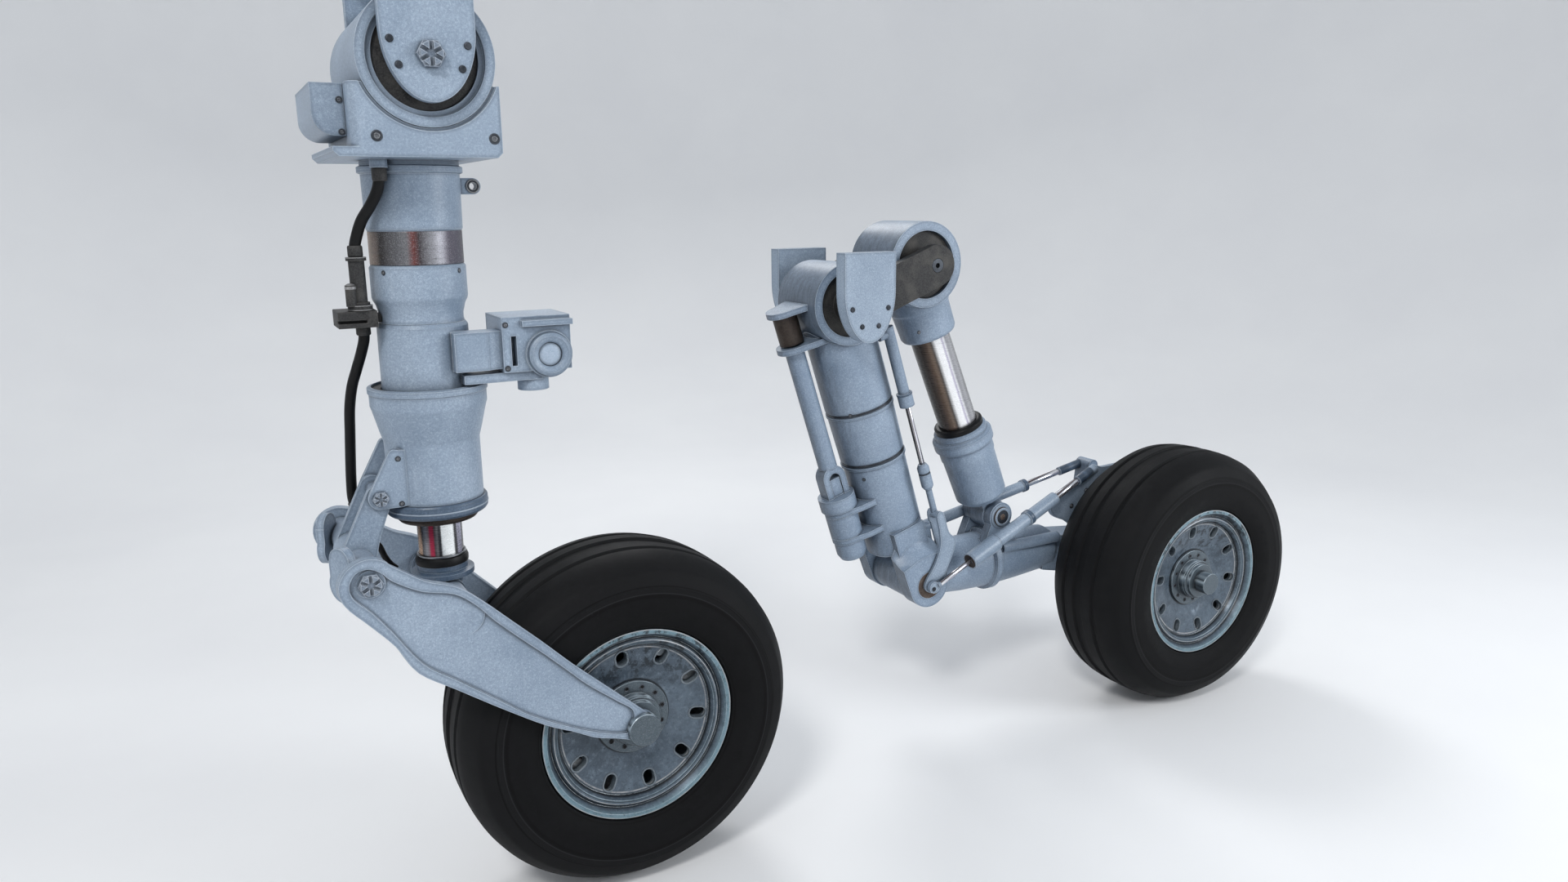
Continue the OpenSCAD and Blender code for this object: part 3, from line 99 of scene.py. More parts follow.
class Nodes:
    """A short way to build a node material."""

    def __init__(self, name):
        self.material = bpy.data.materials.new(name)
        self.material.use_nodes = True
        self.tree = self.material.node_tree
        self.bsdf = self.tree.nodes["Principled BSDF"]
        texture = self.add("ShaderNodeTexCoord")
        self.coords = texture.outputs["Object"]
        self.normals = texture.outputs["Normal"]

    def add(self, kind):
        return self.tree.nodes.new(kind)

    def put(self, socket, value):
        """Links a socket to another, or sets its value."""
        if isinstance(value, bpy.types.NodeSocket):
            self.tree.links.new(value, socket)
        else:
            socket.default_value = value

    def noise(self, scale, detail=4.0, roughness=0.55, stretch=None, seed=0.0):
        """Noise in object space; seed moves it, and needs a stretch."""
        vector = self.coords
        if stretch:
            mapping = self.add("ShaderNodeMapping")
            self.put(mapping.inputs["Vector"], vector)
            mapping.inputs["Scale"].default_value = stretch
            mapping.inputs["Location"].default_value = (seed, seed, seed)
            vector = mapping.outputs["Vector"]
        node = self.add("ShaderNodeTexNoise")
        self.put(node.inputs["Vector"], vector)
        node.inputs["Scale"].default_value = scale
        node.inputs["Detail"].default_value = detail
        node.inputs["Roughness"].default_value = roughness
        return node.outputs["Fac"]

    def ramp(self, value, stops):
        node = self.add("ShaderNodeValToRGB")
        self.put(node.inputs["Fac"], value)
        elements = node.color_ramp.elements
        while len(elements) < len(stops):
            elements.new(0.5)
        for element, (place, colour) in zip(elements, stops):
            element.position = place
            element.color = (*colour, 1.0)
        return node.outputs["Color"]

    def grey(self, value, low, high, out_low=0.0, out_high=1.0):
        """The value's range from low to high, spread over the outer range."""
        node = self.add("ShaderNodeMapRange")
        self.put(node.inputs["Value"], value)
        for key, number in (("From Min", low), ("From Max", high), ("To Min", out_low), ("To Max", out_high)):
            node.inputs[key].default_value = number
        return node.outputs["Result"]

    def maths(self, operation, a, b=0.0, clamp=False):
        node = self.add("ShaderNodeMath")
        node.operation = operation
        node.use_clamp = clamp
        self.put(node.inputs[0], a)
        self.put(node.inputs[1], b)
        return node.outputs["Value"]

    def mix(self, factor, a, b):
        node = self.add("ShaderNodeMix")
        node.data_type = "RGBA"
        self.put(node.inputs[0], factor)
        for socket, value in ((node.inputs[6], a), (node.inputs[7], b)):
            if not isinstance(value, bpy.types.NodeSocket):
                value = (*value, 1.0)
            self.put(socket, value)
        return node.outputs[2]

    def rounded(self, radius):
        node = self.add("ShaderNodeBevel")
        node.samples = 4
        node.inputs["Radius"].default_value = radius
        return node.outputs["Normal"]

    def edges(self, radius, low=0.995, high=0.90):
        """1 on sharp edges, 0 on flat faces."""
        geometry = self.add("ShaderNodeNewGeometry")
        node = self.add("ShaderNodeVectorMath")
        node.operation = "DOT_PRODUCT"
        self.put(node.inputs[0], self.rounded(radius))
        self.put(node.inputs[1], geometry.outputs["Normal"])
        return self.grey(node.outputs["Value"], low, high)

    def hollows(self, distance):
        """1 in corners and under overhangs, 0 in the open: the mask of painted shade."""
        node = self.add("ShaderNodeAmbientOcclusion")
        node.samples = 6
        node.inputs["Distance"].default_value = distance
        return self.grey(node.outputs["AO"], 0.85, 0.25)

    def toward(self, direction):
        """How far the surface faces a fixed direction of the part, from -1 to 1."""
        node = self.add("ShaderNodeVectorMath")
        node.operation = "DOT_PRODUCT"
        self.put(node.inputs[0], self.normals)
        node.inputs[1].default_value = direction
        return node.outputs["Value"]

    def around(self, centre):
        """Distance from a wheel's axle line, and how far the face turns to it (1 facing along the axle)."""
        away = self.add("ShaderNodeVectorMath")
        away.operation = "SUBTRACT"
        self.put(away.inputs[0], self.coords)
        away.inputs[1].default_value = centre
        flat = self.add("ShaderNodeVectorMath")
        flat.operation = "MULTIPLY"
        self.put(flat.inputs[0], away.outputs["Vector"])
        flat.inputs[1].default_value = (1.0, 0.0, 1.0)
        length = self.add("ShaderNodeVectorMath")
        length.operation = "LENGTH"
        self.put(length.inputs[0], flat.outputs["Vector"])
        split = self.add("ShaderNodeSeparateXYZ")
        self.put(split.inputs[0], self.normals)
        return length.outputs["Value"], self.maths("ABSOLUTE", split.outputs["Y"])

    def line(self, value, place, half):
        """1 where value is at place, falling to 0 over half to either side."""
        return self.grey(self.maths("ABSOLUTE", self.maths("SUBTRACT", value, place)), half, half * 0.35)

    def bump(self, height, strength, distance, normal=None):
        node = self.add("ShaderNodeBump")
        node.inputs["Strength"].default_value = strength
        node.inputs["Distance"].default_value = distance
        self.put(node.inputs["Height"], height)
        if normal:
            self.put(node.inputs["Normal"], normal)
        return node.outputs["Normal"]

    def finish(self, colour, roughness, metallic=0.0, normal=None, **extra):
        self.put(self.bsdf.inputs["Base Color"], colour)
        self.put(self.bsdf.inputs["Roughness"], roughness)
        self.put(self.bsdf.inputs["Metallic"], metallic)
        if normal:
            self.put(self.bsdf.inputs["Normal"], normal)
        for key, value in extra.items():
            self.bsdf.inputs[key.replace("_", " ")].default_value = value
        return self.material


# Colour of the painted shade on the faces turned away from a given direction
PAINTED_SHADE_COLOUR = (0.016, 0.022, 0.032)


def painted(name, light, dark, edge, roughness=0.42, wear_and_highlight=0.55, metallic=0.0, shade_direction=None):
    """Satin paint over metal: soft tone changes, painted shade along the borders and in the corners, rubbed edges
    with painted highlight.

    The direction given is one of the part; the faces turned away from it get painted shade.
    """
    n = Nodes(name)
    broad = n.noise(7.0, 5.0, 0.6)
    fine = n.noise(300.0, 5.0, 0.75)
    specks = n.noise(1100.0, 2.0, 0.5)
    colour = n.mix(n.grey(broad, 0.32, 0.68), dark, light)
    colour = n.mix(n.grey(fine, 0.42, 0.66, 0.0, 0.44), colour, shade(dark, 0.66))
    colour = n.mix(n.grey(fine, 0.46, 0.34, 0.0, 0.20), colour, edge)
    colour = n.mix(n.grey(specks, 0.56, 0.72, 0.0, 0.34), colour, edge)
    colour = n.mix(n.grey(specks, 0.44, 0.30, 0.0, 0.46), colour, shade(dark, 0.42))
    streaks = n.noise(16.0, 5.0, 0.6, stretch=(7.0, 7.0, 0.8), seed=3.0)
    colour = n.mix(n.grey(streaks, 0.60, 0.82, 0.0, 0.16), colour, edge)
    # Painted shade along the faces' borders and in the corners and hollows
    border_shade = n.edges(0.0085, 1.0, 0.93)
    colour = n.mix(n.maths("MULTIPLY", border_shade, 0.74), colour, shade(dark, 0.48))
    colour = n.mix(n.maths("MULTIPLY", n.hollows(0.030), 0.55), colour, shade(dark, 0.45))
    colour = n.mix(n.maths("MULTIPLY", n.hollows(0.0065), 0.92), colour, shade(dark, 0.22))
    # Painted shade, a little uneven, on the faces turned away from the given direction
    if shade_direction:
        away = n.grey(n.toward(shade_direction), 0.0, -1.0)
        side_shade = n.maths("ADD", away, n.grey(streaks, 0.35, 0.65, -0.12, 0.12), clamp=True)
        colour = n.mix(n.grey(side_shade, 0.08, 0.95, 0.0, 0.78), colour, PAINTED_SHADE_COLOUR)
    # Rubbed edges: wear and painted highlight together
    rub_and_highlight = n.maths("MULTIPLY", n.edges(0.0020), n.grey(n.noise(60.0, 4.0, 0.7), 0.20, 0.50), clamp=True)
    colour = n.mix(n.maths("MULTIPLY", rub_and_highlight, wear_and_highlight), colour, edge)
    rough = n.maths("ADD", n.grey(broad, 0.3, 0.7, roughness - 0.06, roughness + 0.08),
        n.grey(fine, 0.3, 0.7, -0.03, 0.03))
    normal = n.bump(fine, 0.12, 0.0004, n.rounded(0.0012))
    return n.finish(colour, rough, metallic, normal)


def polished(name, light, dark, roughness, streak):
    """Bright metal with fine lines; streak stretches them."""
    n = Nodes(name)
    lines = n.noise(14.0, 6.0, 0.7, stretch=streak)
    cloud = n.noise(12.0, 4.0, 0.6)
    colour = n.mix(n.grey(lines, 0.35, 0.7), light, dark)
    # Painted shade in the hollows
    colour = n.mix(n.maths("MULTIPLY", n.hollows(0.010), 0.7), colour, (0.04, 0.04, 0.045))
    rough = n.maths("ADD", n.grey(lines, 0.3, 0.7, roughness, roughness + 0.10), n.grey(cloud, 0.4, 0.7, 0.0, 0.05))
    normal = n.bump(lines, 0.05, 0.0002, n.rounded(0.0008))
    return n.finish(colour, rough, 1.0, normal)


def cast(name, light, dark, edge, roughness=0.62, metallic=0.55):
    """Grainy metal with worn patches, edges of wear and painted highlight, and painted shade in the hollows."""
    n = Nodes(name)
    grain = n.noise(420.0, 4.0, 0.7)
    patches = n.noise(26.0, 5.0, 0.6)
    colour = n.mix(n.grey(grain, 0.36, 0.68), dark, light)
    colour = n.mix(n.grey(patches, 0.45, 0.75, 0.0, 0.4), colour, edge)
    # Pale edges of wear and painted highlight, then painted shade in the hollows
    colour = n.mix(n.maths("MULTIPLY", n.edges(0.0014), 0.6), colour, edge)
    colour = n.mix(n.maths("MULTIPLY", n.hollows(0.014), 0.6), colour, (0.012, 0.012, 0.013))
    rough = n.grey(grain, 0.3, 0.7, roughness - 0.1, roughness + 0.12)
    normal = n.bump(grain, 0.35, 0.0006, n.rounded(0.0010))
    return n.finish(colour, rough, metallic, normal)


def rubber(name, colour_low, colour_high, roughness):
    """Dull rubber with a fine grain."""
    n = Nodes(name)
    broad = n.noise(9.0, 5.0, 0.6)
    fine = n.noise(260.0, 4.0, 0.65)
    colour = n.mix(n.grey(broad, 0.35, 0.7), colour_low, colour_high)
    colour = n.mix(n.grey(fine, 0.55, 0.8, 0.0, 0.25), colour, shade(colour_high, 2.2))
    rough = n.grey(broad, 0.3, 0.7, roughness - 0.08, roughness + 0.08)
    normal = n.bump(fine, 0.18, 0.0005)
    return n.finish(colour, rough, 0.0, normal, Specular_IOR_Level=0.20)


# Radii on the wheel, in metres from the axle line; a line is a radius and half its width
TREAD = (0.270, 0.292)
SHOULDER = (0.234, 0.240)
SIDEWALL_STEP = (0.2450, 0.2500)
SIDEWALL_LINES = ((0.2320, 0.0042), (0.1775, 0.0022), (0.2490, 0.0012))
SIDEWALL_LEDGE = (0.2372, 0.0014)
DISC = (0.060, 0.172)
HOLE_BAND_IN, HOLE_BAND_OUT = (0.094, 0.098), (0.137, 0.133)
# Painted shade in the rim's grooves and corners, then pale lips of wear and painted highlight
GROOVE_SHADE_LINES = ((0.1365, 0.0030, 0.93), (0.1535, 0.0034, 0.95), (0.0668, 0.0022, 0.85), (0.1440, 0.0012, 0.7))
WORN_AND_HIGHLIT_LINES = ((0.1318, 0.0016), (0.1480, 0.0012), (0.1690, 0.0014))
# Tones across the disc, from 0 at its inner radius to 1 at its outer one: 0.5 is the plain enamel; the darker bands
# are painted shade in the corner and the groove, the lighter teal bands painted highlight on the bowl and the lips
DISC_ZONES = ((0.0, 0.5), (0.62, 0.5), (0.68, 0.30), (0.74, 0.62), (0.80, 0.40), (0.86, 0.42), (0.91, 0.80),
    (0.97, 0.92), (1.0, 0.5))


def wheel_tyre(name, centre):
    """Near-black rubber with a ledge line on the sidewall and a dusty tread."""
    n = Nodes(name)
    radius = n.around(centre)[0]
    broad = n.noise(9.0, 5.0, 0.6)
    fine = n.noise(260.0, 4.0, 0.65)
    colour = n.mix(n.grey(broad, 0.35, 0.7), (0.0024, 0.0026, 0.0030), (0.0044, 0.0046, 0.0052))
    colour = n.mix(n.grey(fine, 0.55, 0.8, 0.0, 0.22), colour, (0.014, 0.0145, 0.0152))
    dust = n.maths("MULTIPLY", n.grey(radius, *TREAD), n.grey(n.noise(30.0, 4.0, 0.6), 0.3, 0.7), clamp=True)
    colour = n.mix(n.maths("MULTIPLY", dust, 0.30), colour, (0.018, 0.018, 0.019))
    colour = n.mix(n.grey(radius, *SHOULDER, 0.0, 0.45), colour, (0.0085, 0.0088, 0.0096))
    for place, half in SIDEWALL_LINES:
        colour = n.mix(n.maths("MULTIPLY", n.line(radius, place, half), 0.8), colour, (0.0012, 0.0012, 0.0014))
    colour = n.mix(n.maths("MULTIPLY", n.line(radius, *SIDEWALL_LEDGE), 0.35), colour, (0.030, 0.031, 0.033))
    rough = n.grey(broad, 0.3, 0.7, 0.56, 0.70)
    step = n.maths("ADD", n.grey(radius, *SIDEWALL_STEP), n.maths("MULTIPLY", fine, 0.12))
    return n.finish(colour, rough, 0.0, n.bump(step, 0.7, 0.0026), Specular_IOR_Level=0.12)


def wheel_painted(name, centre):
    """Worn enamel of the rim: painted shade in the grooves and hollows, pale lips of wear and painted highlight,
    mottled patches, bright hole walls.
    """
    n = Nodes(name)
    radius, facing = n.around(centre)
    broad = n.noise(9.0, 5.0, 0.6)
    grain = n.noise(170.0, 5.0, 0.78)
    cloud = n.noise(40.0, 6.0, 0.75, stretch=(1.0, 1.0, 1.0), seed=2.0)
    colour = n.mix(n.grey(broad, 0.34, 0.66), (0.060, 0.082, 0.108), (0.104, 0.138, 0.176))
    zone = n.ramp(n.grey(radius, *DISC), [(place, (tone, tone, tone)) for place, tone in DISC_ZONES])
    colour = n.mix(n.grey(zone, 0.5, 1.0, 0.0, 0.85), colour, (0.185, 0.310, 0.365))
    colour = n.mix(n.grey(zone, 0.5, 0.2, 0.0, 0.8), colour, (0.030, 0.042, 0.055))
    high = n.add("ShaderNodeSeparateXYZ")
    n.put(high.inputs[0], n.coords)
    upper = n.grey(high.outputs["Z"], -1.20, -1.13, 0.28, 1.0)
    colour = n.mix(n.grey(cloud, 0.42, 0.34, 0.0, 0.42), colour, (0.190, 0.245, 0.300))
    colour = n.mix(n.grey(grain, 0.55, 0.70, 0.0, 0.42), colour, (0.250, 0.300, 0.350))
    colour = n.mix(n.grey(grain, 0.44, 0.32, 0.0, 0.55), colour, (0.022, 0.029, 0.038))
    patches = n.maths("MULTIPLY", n.grey(cloud, 0.50, 0.57, 0.0, 0.85), upper)
    colour = n.mix(patches, colour, (0.010, 0.014, 0.019))
    hole_band = n.maths("MULTIPLY", n.grey(radius, *HOLE_BAND_IN), n.grey(radius, *HOLE_BAND_OUT))
    wall = n.maths("MULTIPLY", n.grey(facing, 0.55, 0.25), hole_band, clamp=True)
    chips = n.maths("MULTIPLY", n.grey(n.noise(120.0, 4.0, 0.7), 0.40, 0.60), 0.55)
    colour = n.mix(n.maths("MULTIPLY", wall, n.maths("ADD", chips, 0.35)), colour, (0.46, 0.53, 0.58))
    # Painted shade in the grooves and corners
    for place, half, depth in GROOVE_SHADE_LINES:
        colour = n.mix(n.maths("MULTIPLY", n.line(radius, place, half), depth), colour, (0.007, 0.009, 0.012))
    # Pale lips: wear and painted highlight
    for place, half in WORN_AND_HIGHLIT_LINES:
        worn = n.maths("MULTIPLY", n.line(radius, place, half), n.grey(cloud, 0.40, 0.56, 0.25, 0.85), clamp=True)
        colour = n.mix(worn, colour, (0.40, 0.40, 0.40))
    # Painted shade in the hollows
    colour = n.mix(n.maths("MULTIPLY", n.hollows(0.012), 0.75), colour, (0.008, 0.010, 0.013))
    # Rubbed edges: wear and painted highlight together
    rub_and_highlight = n.maths("MULTIPLY", n.edges(0.0018), n.grey(n.noise(70.0, 4.0, 0.7), 0.30, 0.55), clamp=True)
    colour = n.mix(n.maths("MULTIPLY", rub_and_highlight, 0.85), colour, (0.50, 0.56, 0.60))
    rough = n.maths("ADD", n.grey(cloud, 0.3, 0.7, 0.26, 0.42), n.grey(grain, 0.3, 0.7, -0.05, 0.07))
    return n.finish(colour, rough, 0.35, n.bump(grain, 0.22, 0.0006, n.rounded(0.0016)))


def reflection_painted_metal(name, stops, roughness, metallic=0.85, toward=(0.876, -0.482, 0.0), grit=0.25, edge=None):
    """Polished metal with painted reflections: bands of tone placed by how far the surface faces a fixed direction,
    and painted shade in the hollows.
    """
    n = Nodes(name)
    wobble = n.grey(n.noise(9.0, 3.0, 0.5, stretch=(1.0, 1.0, 0.25)), 0.3, 0.7, -0.02, 0.02)
    place = n.maths("ADD", n.grey(n.toward(toward), -1.0, 1.0), wobble, clamp=True)
    colour = n.ramp(place, stops)
    # Painted shade in the hollows
    colour = n.mix(n.maths("MULTIPLY", n.hollows(0.012), 0.7), colour, (0.03, 0.03, 0.035))
    scratches = n.noise(60.0, 5.0, 0.7, stretch=(0.4, 0.4, 9.0))
    colour = n.mix(n.grey(scratches, 0.5, 0.8, 0.0, grit), colour, (0.10, 0.10, 0.11))
    spots = n.noise(620.0, 3.0, 0.7)
    colour = n.mix(n.grey(spots, 0.52, 0.72, 0.0, grit), colour, (0.020, 0.020, 0.022))
    colour = n.mix(n.grey(spots, 0.46, 0.30, 0.0, grit * 0.8), colour, (0.42, 0.43, 0.45))
    # Painted highlight along the edges
    if edge:
        colour = n.mix(n.maths("MULTIPLY", n.edges(0.0016), 0.7), colour, edge)
    rough = n.grey(scratches, 0.3, 0.7, roughness, roughness + 0.1)
    return n.finish(colour, rough, metallic, n.bump(scratches, 0.06, 0.0002, n.rounded(0.0008)))


# Painted reflections and highlights round the bright metals, as bands of tone: a place from 0 to 1, and its colour
NOSE_CHROME_REFLECTIONS = [(0.0, (0.60, 0.42, 0.29)), (0.06, (0.48, 0.31, 0.21)), (0.10, (0.05, 0.05, 0.055)),
    (0.18, (0.24, 0.24, 0.26)), (0.235, (0.20, 0.15, 0.16)), (0.265, (0.34, 0.02, 0.055)),
    (0.335, (0.34, 0.02, 0.055)), (0.365, (0.09, 0.08, 0.085)), (0.42, (0.24, 0.22, 0.22)),
    (0.46, (0.03, 0.03, 0.035)), (0.495, (0.05, 0.05, 0.055)), (0.525, (0.82, 0.84, 0.84)),
    (0.765, (0.86, 0.88, 0.88)), (0.80, (0.05, 0.05, 0.055)), (0.84, (0.10, 0.10, 0.11)),
    (0.865, (0.68, 0.66, 0.80)), (0.93, (0.56, 0.55, 0.68)), (0.955, (0.06, 0.06, 0.065)),
    (1.0, (0.03, 0.03, 0.03))]
SHOCK_CHROME_REFLECTIONS = [(0.0, (0.025, 0.022, 0.020)), (0.16, (0.022, 0.020, 0.019)), (0.26, (0.07, 0.052, 0.042)),
    (0.38, (0.155, 0.105, 0.075)), (0.48, (0.16, 0.115, 0.085)), (0.54, (0.07, 0.06, 0.055)),
    (0.59, (0.50, 0.50, 0.50)), (0.63, (0.90, 0.90, 0.90)), (0.75, (0.88, 0.88, 0.89)),
    (0.785, (0.42, 0.39, 0.50)), (0.82, (0.70, 0.70, 0.72)), (0.86, (0.30, 0.30, 0.32)),
    (0.93, (0.48, 0.48, 0.50)), (1.0, (0.10, 0.10, 0.10))]
CHROME_REFLECTIONS = [(0.0, (0.22, 0.13, 0.08)), (0.10, (0.10, 0.08, 0.07)), (0.20, (0.045, 0.045, 0.05)),
    (0.33, (0.16, 0.165, 0.18)), (0.42, (0.42, 0.43, 0.45)), (0.47, (0.20, 0.09, 0.08)),
    (0.52, (0.07, 0.07, 0.08)), (0.60, (0.86, 0.87, 0.90)), (0.70, (0.90, 0.90, 0.93)),
    (0.76, (0.44, 0.43, 0.50)), (0.86, (0.60, 0.60, 0.66)), (0.93, (0.16, 0.16, 0.18)),
    (1.0, (0.05, 0.05, 0.06))]
BAND_REFLECTIONS = [(0.0, (0.30, 0.22, 0.16)), (0.06, (0.20, 0.15, 0.12)), (0.12, (0.06, 0.055, 0.055)),
    (0.30, (0.11, 0.11, 0.12)), (0.40, (0.17, 0.17, 0.18)), (0.46, (0.16, 0.045, 0.04)),
    (0.52, (0.055, 0.045, 0.05)), (0.62, (0.24, 0.24, 0.26)), (0.72, (0.30, 0.30, 0.33)),
    (0.82, (0.10, 0.09, 0.115)), (0.92, (0.13, 0.12, 0.15)), (1.0, (0.045, 0.04, 0.055))]
# Painted reflections and highlights of the wheel hubs and axle ends, from underneath to the top
HUB_REFLECTIONS = [(0.0, (0.050, 0.068, 0.090)), (0.12, (0.115, 0.080, 0.064)), (0.25, (0.016, 0.019, 0.024)),
    (0.40, (0.034, 0.048, 0.062)), (0.47, (0.080, 0.106, 0.126)), (0.54, (0.080, 0.106, 0.126)),
    (0.61, (0.026, 0.036, 0.046)), (0.72, (0.15, 0.20, 0.24)), (0.80, (0.62, 0.72, 0.78)),
    (0.87, (0.045, 0.060, 0.075)), (0.95, (0.40, 0.48, 0.54)), (1.0, (0.13, 0.17, 0.21))]

# Directions that the painted reflections and painted shade follow, for the strut's and the main gear's places in the
# picture
STRUT_FACING = (0.984, -0.176, 0.0)
MAIN_FACING = (0.798, -0.603, 0.0)
HUB_FACING = (-0.35, 0.0, 0.937)

PAINT = painted("paint", (0.325, 0.400, 0.495), (0.205, 0.27, 0.355), (0.62, 0.70, 0.80), 0.42, 0.70)
# The main gear's paint: a darker, bluer copy of paint whose darkness is painted shade, with more painted shade on the
# faces turned from MAIN_FACING
MAIN_SHADED_PAINT = painted("main_shaded_paint", (0.290, 0.365, 0.465), (0.180, 0.245, 0.335), (0.58, 0.67, 0.78), 0.42, 0.70,
    shade_direction=MAIN_FACING)
NUT_PAINT = painted("nut_paint", (0.27, 0.33, 0.41), (0.17, 0.215, 0.28), (0.56, 0.62, 0.70), 0.36, 0.8)
DARK_PAINT = painted("dark_paint", (0.090, 0.135, 0.200), (0.055, 0.088, 0.138), (0.33, 0.42, 0.53), 0.38)
WHEEL_PAINT = painted("wheel_paint", (0.100, 0.142, 0.170), (0.036, 0.058, 0.076), (0.44, 0.50, 0.53), 0.42, 0.95,
    0.30)
CHROME = reflection_painted_metal("chrome", CHROME_REFLECTIONS, 0.14)
BAND = reflection_painted_metal("band", BAND_REFLECTIONS, 0.34, 0.55, STRUT_FACING, 0.65)
NOSE_CHROME = reflection_painted_metal("nose_chrome", NOSE_CHROME_REFLECTIONS, 0.22, 0.60, STRUT_FACING, 0.07)
SHOCK_CHROME = reflection_painted_metal("shock_chrome", SHOCK_CHROME_REFLECTIONS, 0.24, 0.60, MAIN_FACING, 0.14)
HUB = reflection_painted_metal("hub_metal", HUB_REFLECTIONS, 0.30, 0.45, HUB_FACING, 0.40, (0.40, 0.47, 0.52))
NOSE_WHEEL_PAINT = wheel_painted("nose_wheel_paint", NOSE_HUB)
MAIN_WHEEL_PAINT = wheel_painted("main_wheel_paint", MAIN_HUB)
NOSE_TYRE = wheel_tyre("nose_tyre_rubber", NOSE_HUB)
MAIN_TYRE = wheel_tyre("main_tyre_rubber", MAIN_HUB)
UMBER = cast("umber", (0.052, 0.036, 0.028), (0.018, 0.013, 0.011), (0.12, 0.10, 0.085), 0.5)
PALE_BLUE = cast("pale_blue", (0.150, 0.190, 0.225), (0.060, 0.078, 0.096), (0.34, 0.38, 0.41), 0.5, 0.3)
PALE_WORN = cast("pale_worn", (0.30, 0.30, 0.30), (0.12, 0.12, 0.125), (0.50, 0.50, 0.50), 0.5, 0.4)
STEEL = polished("steel", (0.30, 0.31, 0.33), (0.15, 0.16, 0.17), 0.30, (8.0, 8.0, 8.0))
DARK_METAL = cast("dark_metal", (0.062, 0.062, 0.062), (0.018, 0.018, 0.019), (0.15, 0.14, 0.125))
BOLT = cast("bolt", (0.040, 0.046, 0.056), (0.016, 0.019, 0.025), (0.16, 0.18, 0.21), 0.45)
RUST = cast("rust", (0.14, 0.10, 0.078), (0.055, 0.038, 0.030), (0.30, 0.27, 0.25), 0.6)
TYRE = rubber("tyre", (0.0062, 0.0066, 0.0078), (0.0105, 0.0108, 0.0122), 0.60)
BLACK = rubber("black_rubber", (0.0030, 0.0030, 0.0034), (0.0058, 0.0058, 0.0062), 0.42)
LENS = painted("lens", (0.42, 0.50, 0.60), (0.33, 0.41, 0.51), (0.70, 0.77, 0.84), 0.30)

SLOT_MATERIALS = {"paint": PAINT, "dark_paint": DARK_PAINT, "wheel_paint": WHEEL_PAINT, "chrome": CHROME,
    "steel": STEEL, "dark_metal": DARK_METAL, "tyre": TYRE, "black_rubber": BLACK, "lens": LENS}
MAIN_PAINTED = ("leg_tube", "leg_drum", "shock_cylinder", "shock_drum", "side_shaft", "trailing_arm", "push_rod")
NODE_MATERIALS = {
    **dict.fromkeys(("trunnion_pins", "link_pin", "fork_cross_shafts"), NUT_PAINT),
    **dict.fromkeys(MAIN_PAINTED, MAIN_SHADED_PAINT),
    **dict.fromkeys(("nose_axle", "nose_hub", "main_hub", "main_axle"), HUB),
    **dict.fromkeys(("bracket_bolts", "leg_link_pin"), BOLT),
    "arm_pins": RUST, "nose_polished_band": BAND, "side_shaft_bush": UMBER,
    "nose_piston": NOSE_CHROME, "shock_piston": SHOCK_CHROME, "nose_tyre": NOSE_TYRE, "main_tyre": MAIN_TYRE,
    "nose_rim": NOSE_WHEEL_PAINT, "main_rim": MAIN_WHEEL_PAINT}

# How the CAD meshes are smoothed for the picture: metres and degrees
WELD_GAP = 0.00002
FLAT_ANGLE = 0.4
EDGE_WIDTH, EDGE_ANGLE = 0.0009, 32


def dress_nodes():
    """Gives each CAD node its material, joined flat faces and soft edges."""
    slots = {s["node"]: s["material_slot"] for s in frame["record"]["subparts"]}
    for name, node in frame["nodes"].items():
        node.data.materials.clear()
        node.data.materials.append(NODE_MATERIALS.get(name, SLOT_MATERIALS[slots[name]]))
        weld = node.modifiers.new("weld", "WELD")
        weld.merge_threshold = WELD_GAP
        flat = node.modifiers.new("flat_faces", "DECIMATE")
        flat.decimate_type = "DISSOLVE"
        flat.angle_limit = math.radians(FLAT_ANGLE)
        soft = node.modifiers.new("soft_edges", "BEVEL")
        soft.width = EDGE_WIDTH
        soft.segments = 2
        soft.limit_method = "ANGLE"
        soft.angle_limit = math.radians(EDGE_ANGLE)
        even = node.modifiers.new("even_shading", "WEIGHTED_NORMAL")
        even.weight = 80
        node.data.shade_smooth()


def on_leg(x, y, t):
    """A place t down the main leg, moved x across it and y to the side."""
    return LEG_TOP + LEG_ACROSS * x + Vector((0.0, y, 0.0)) + LEG_DOWN * t


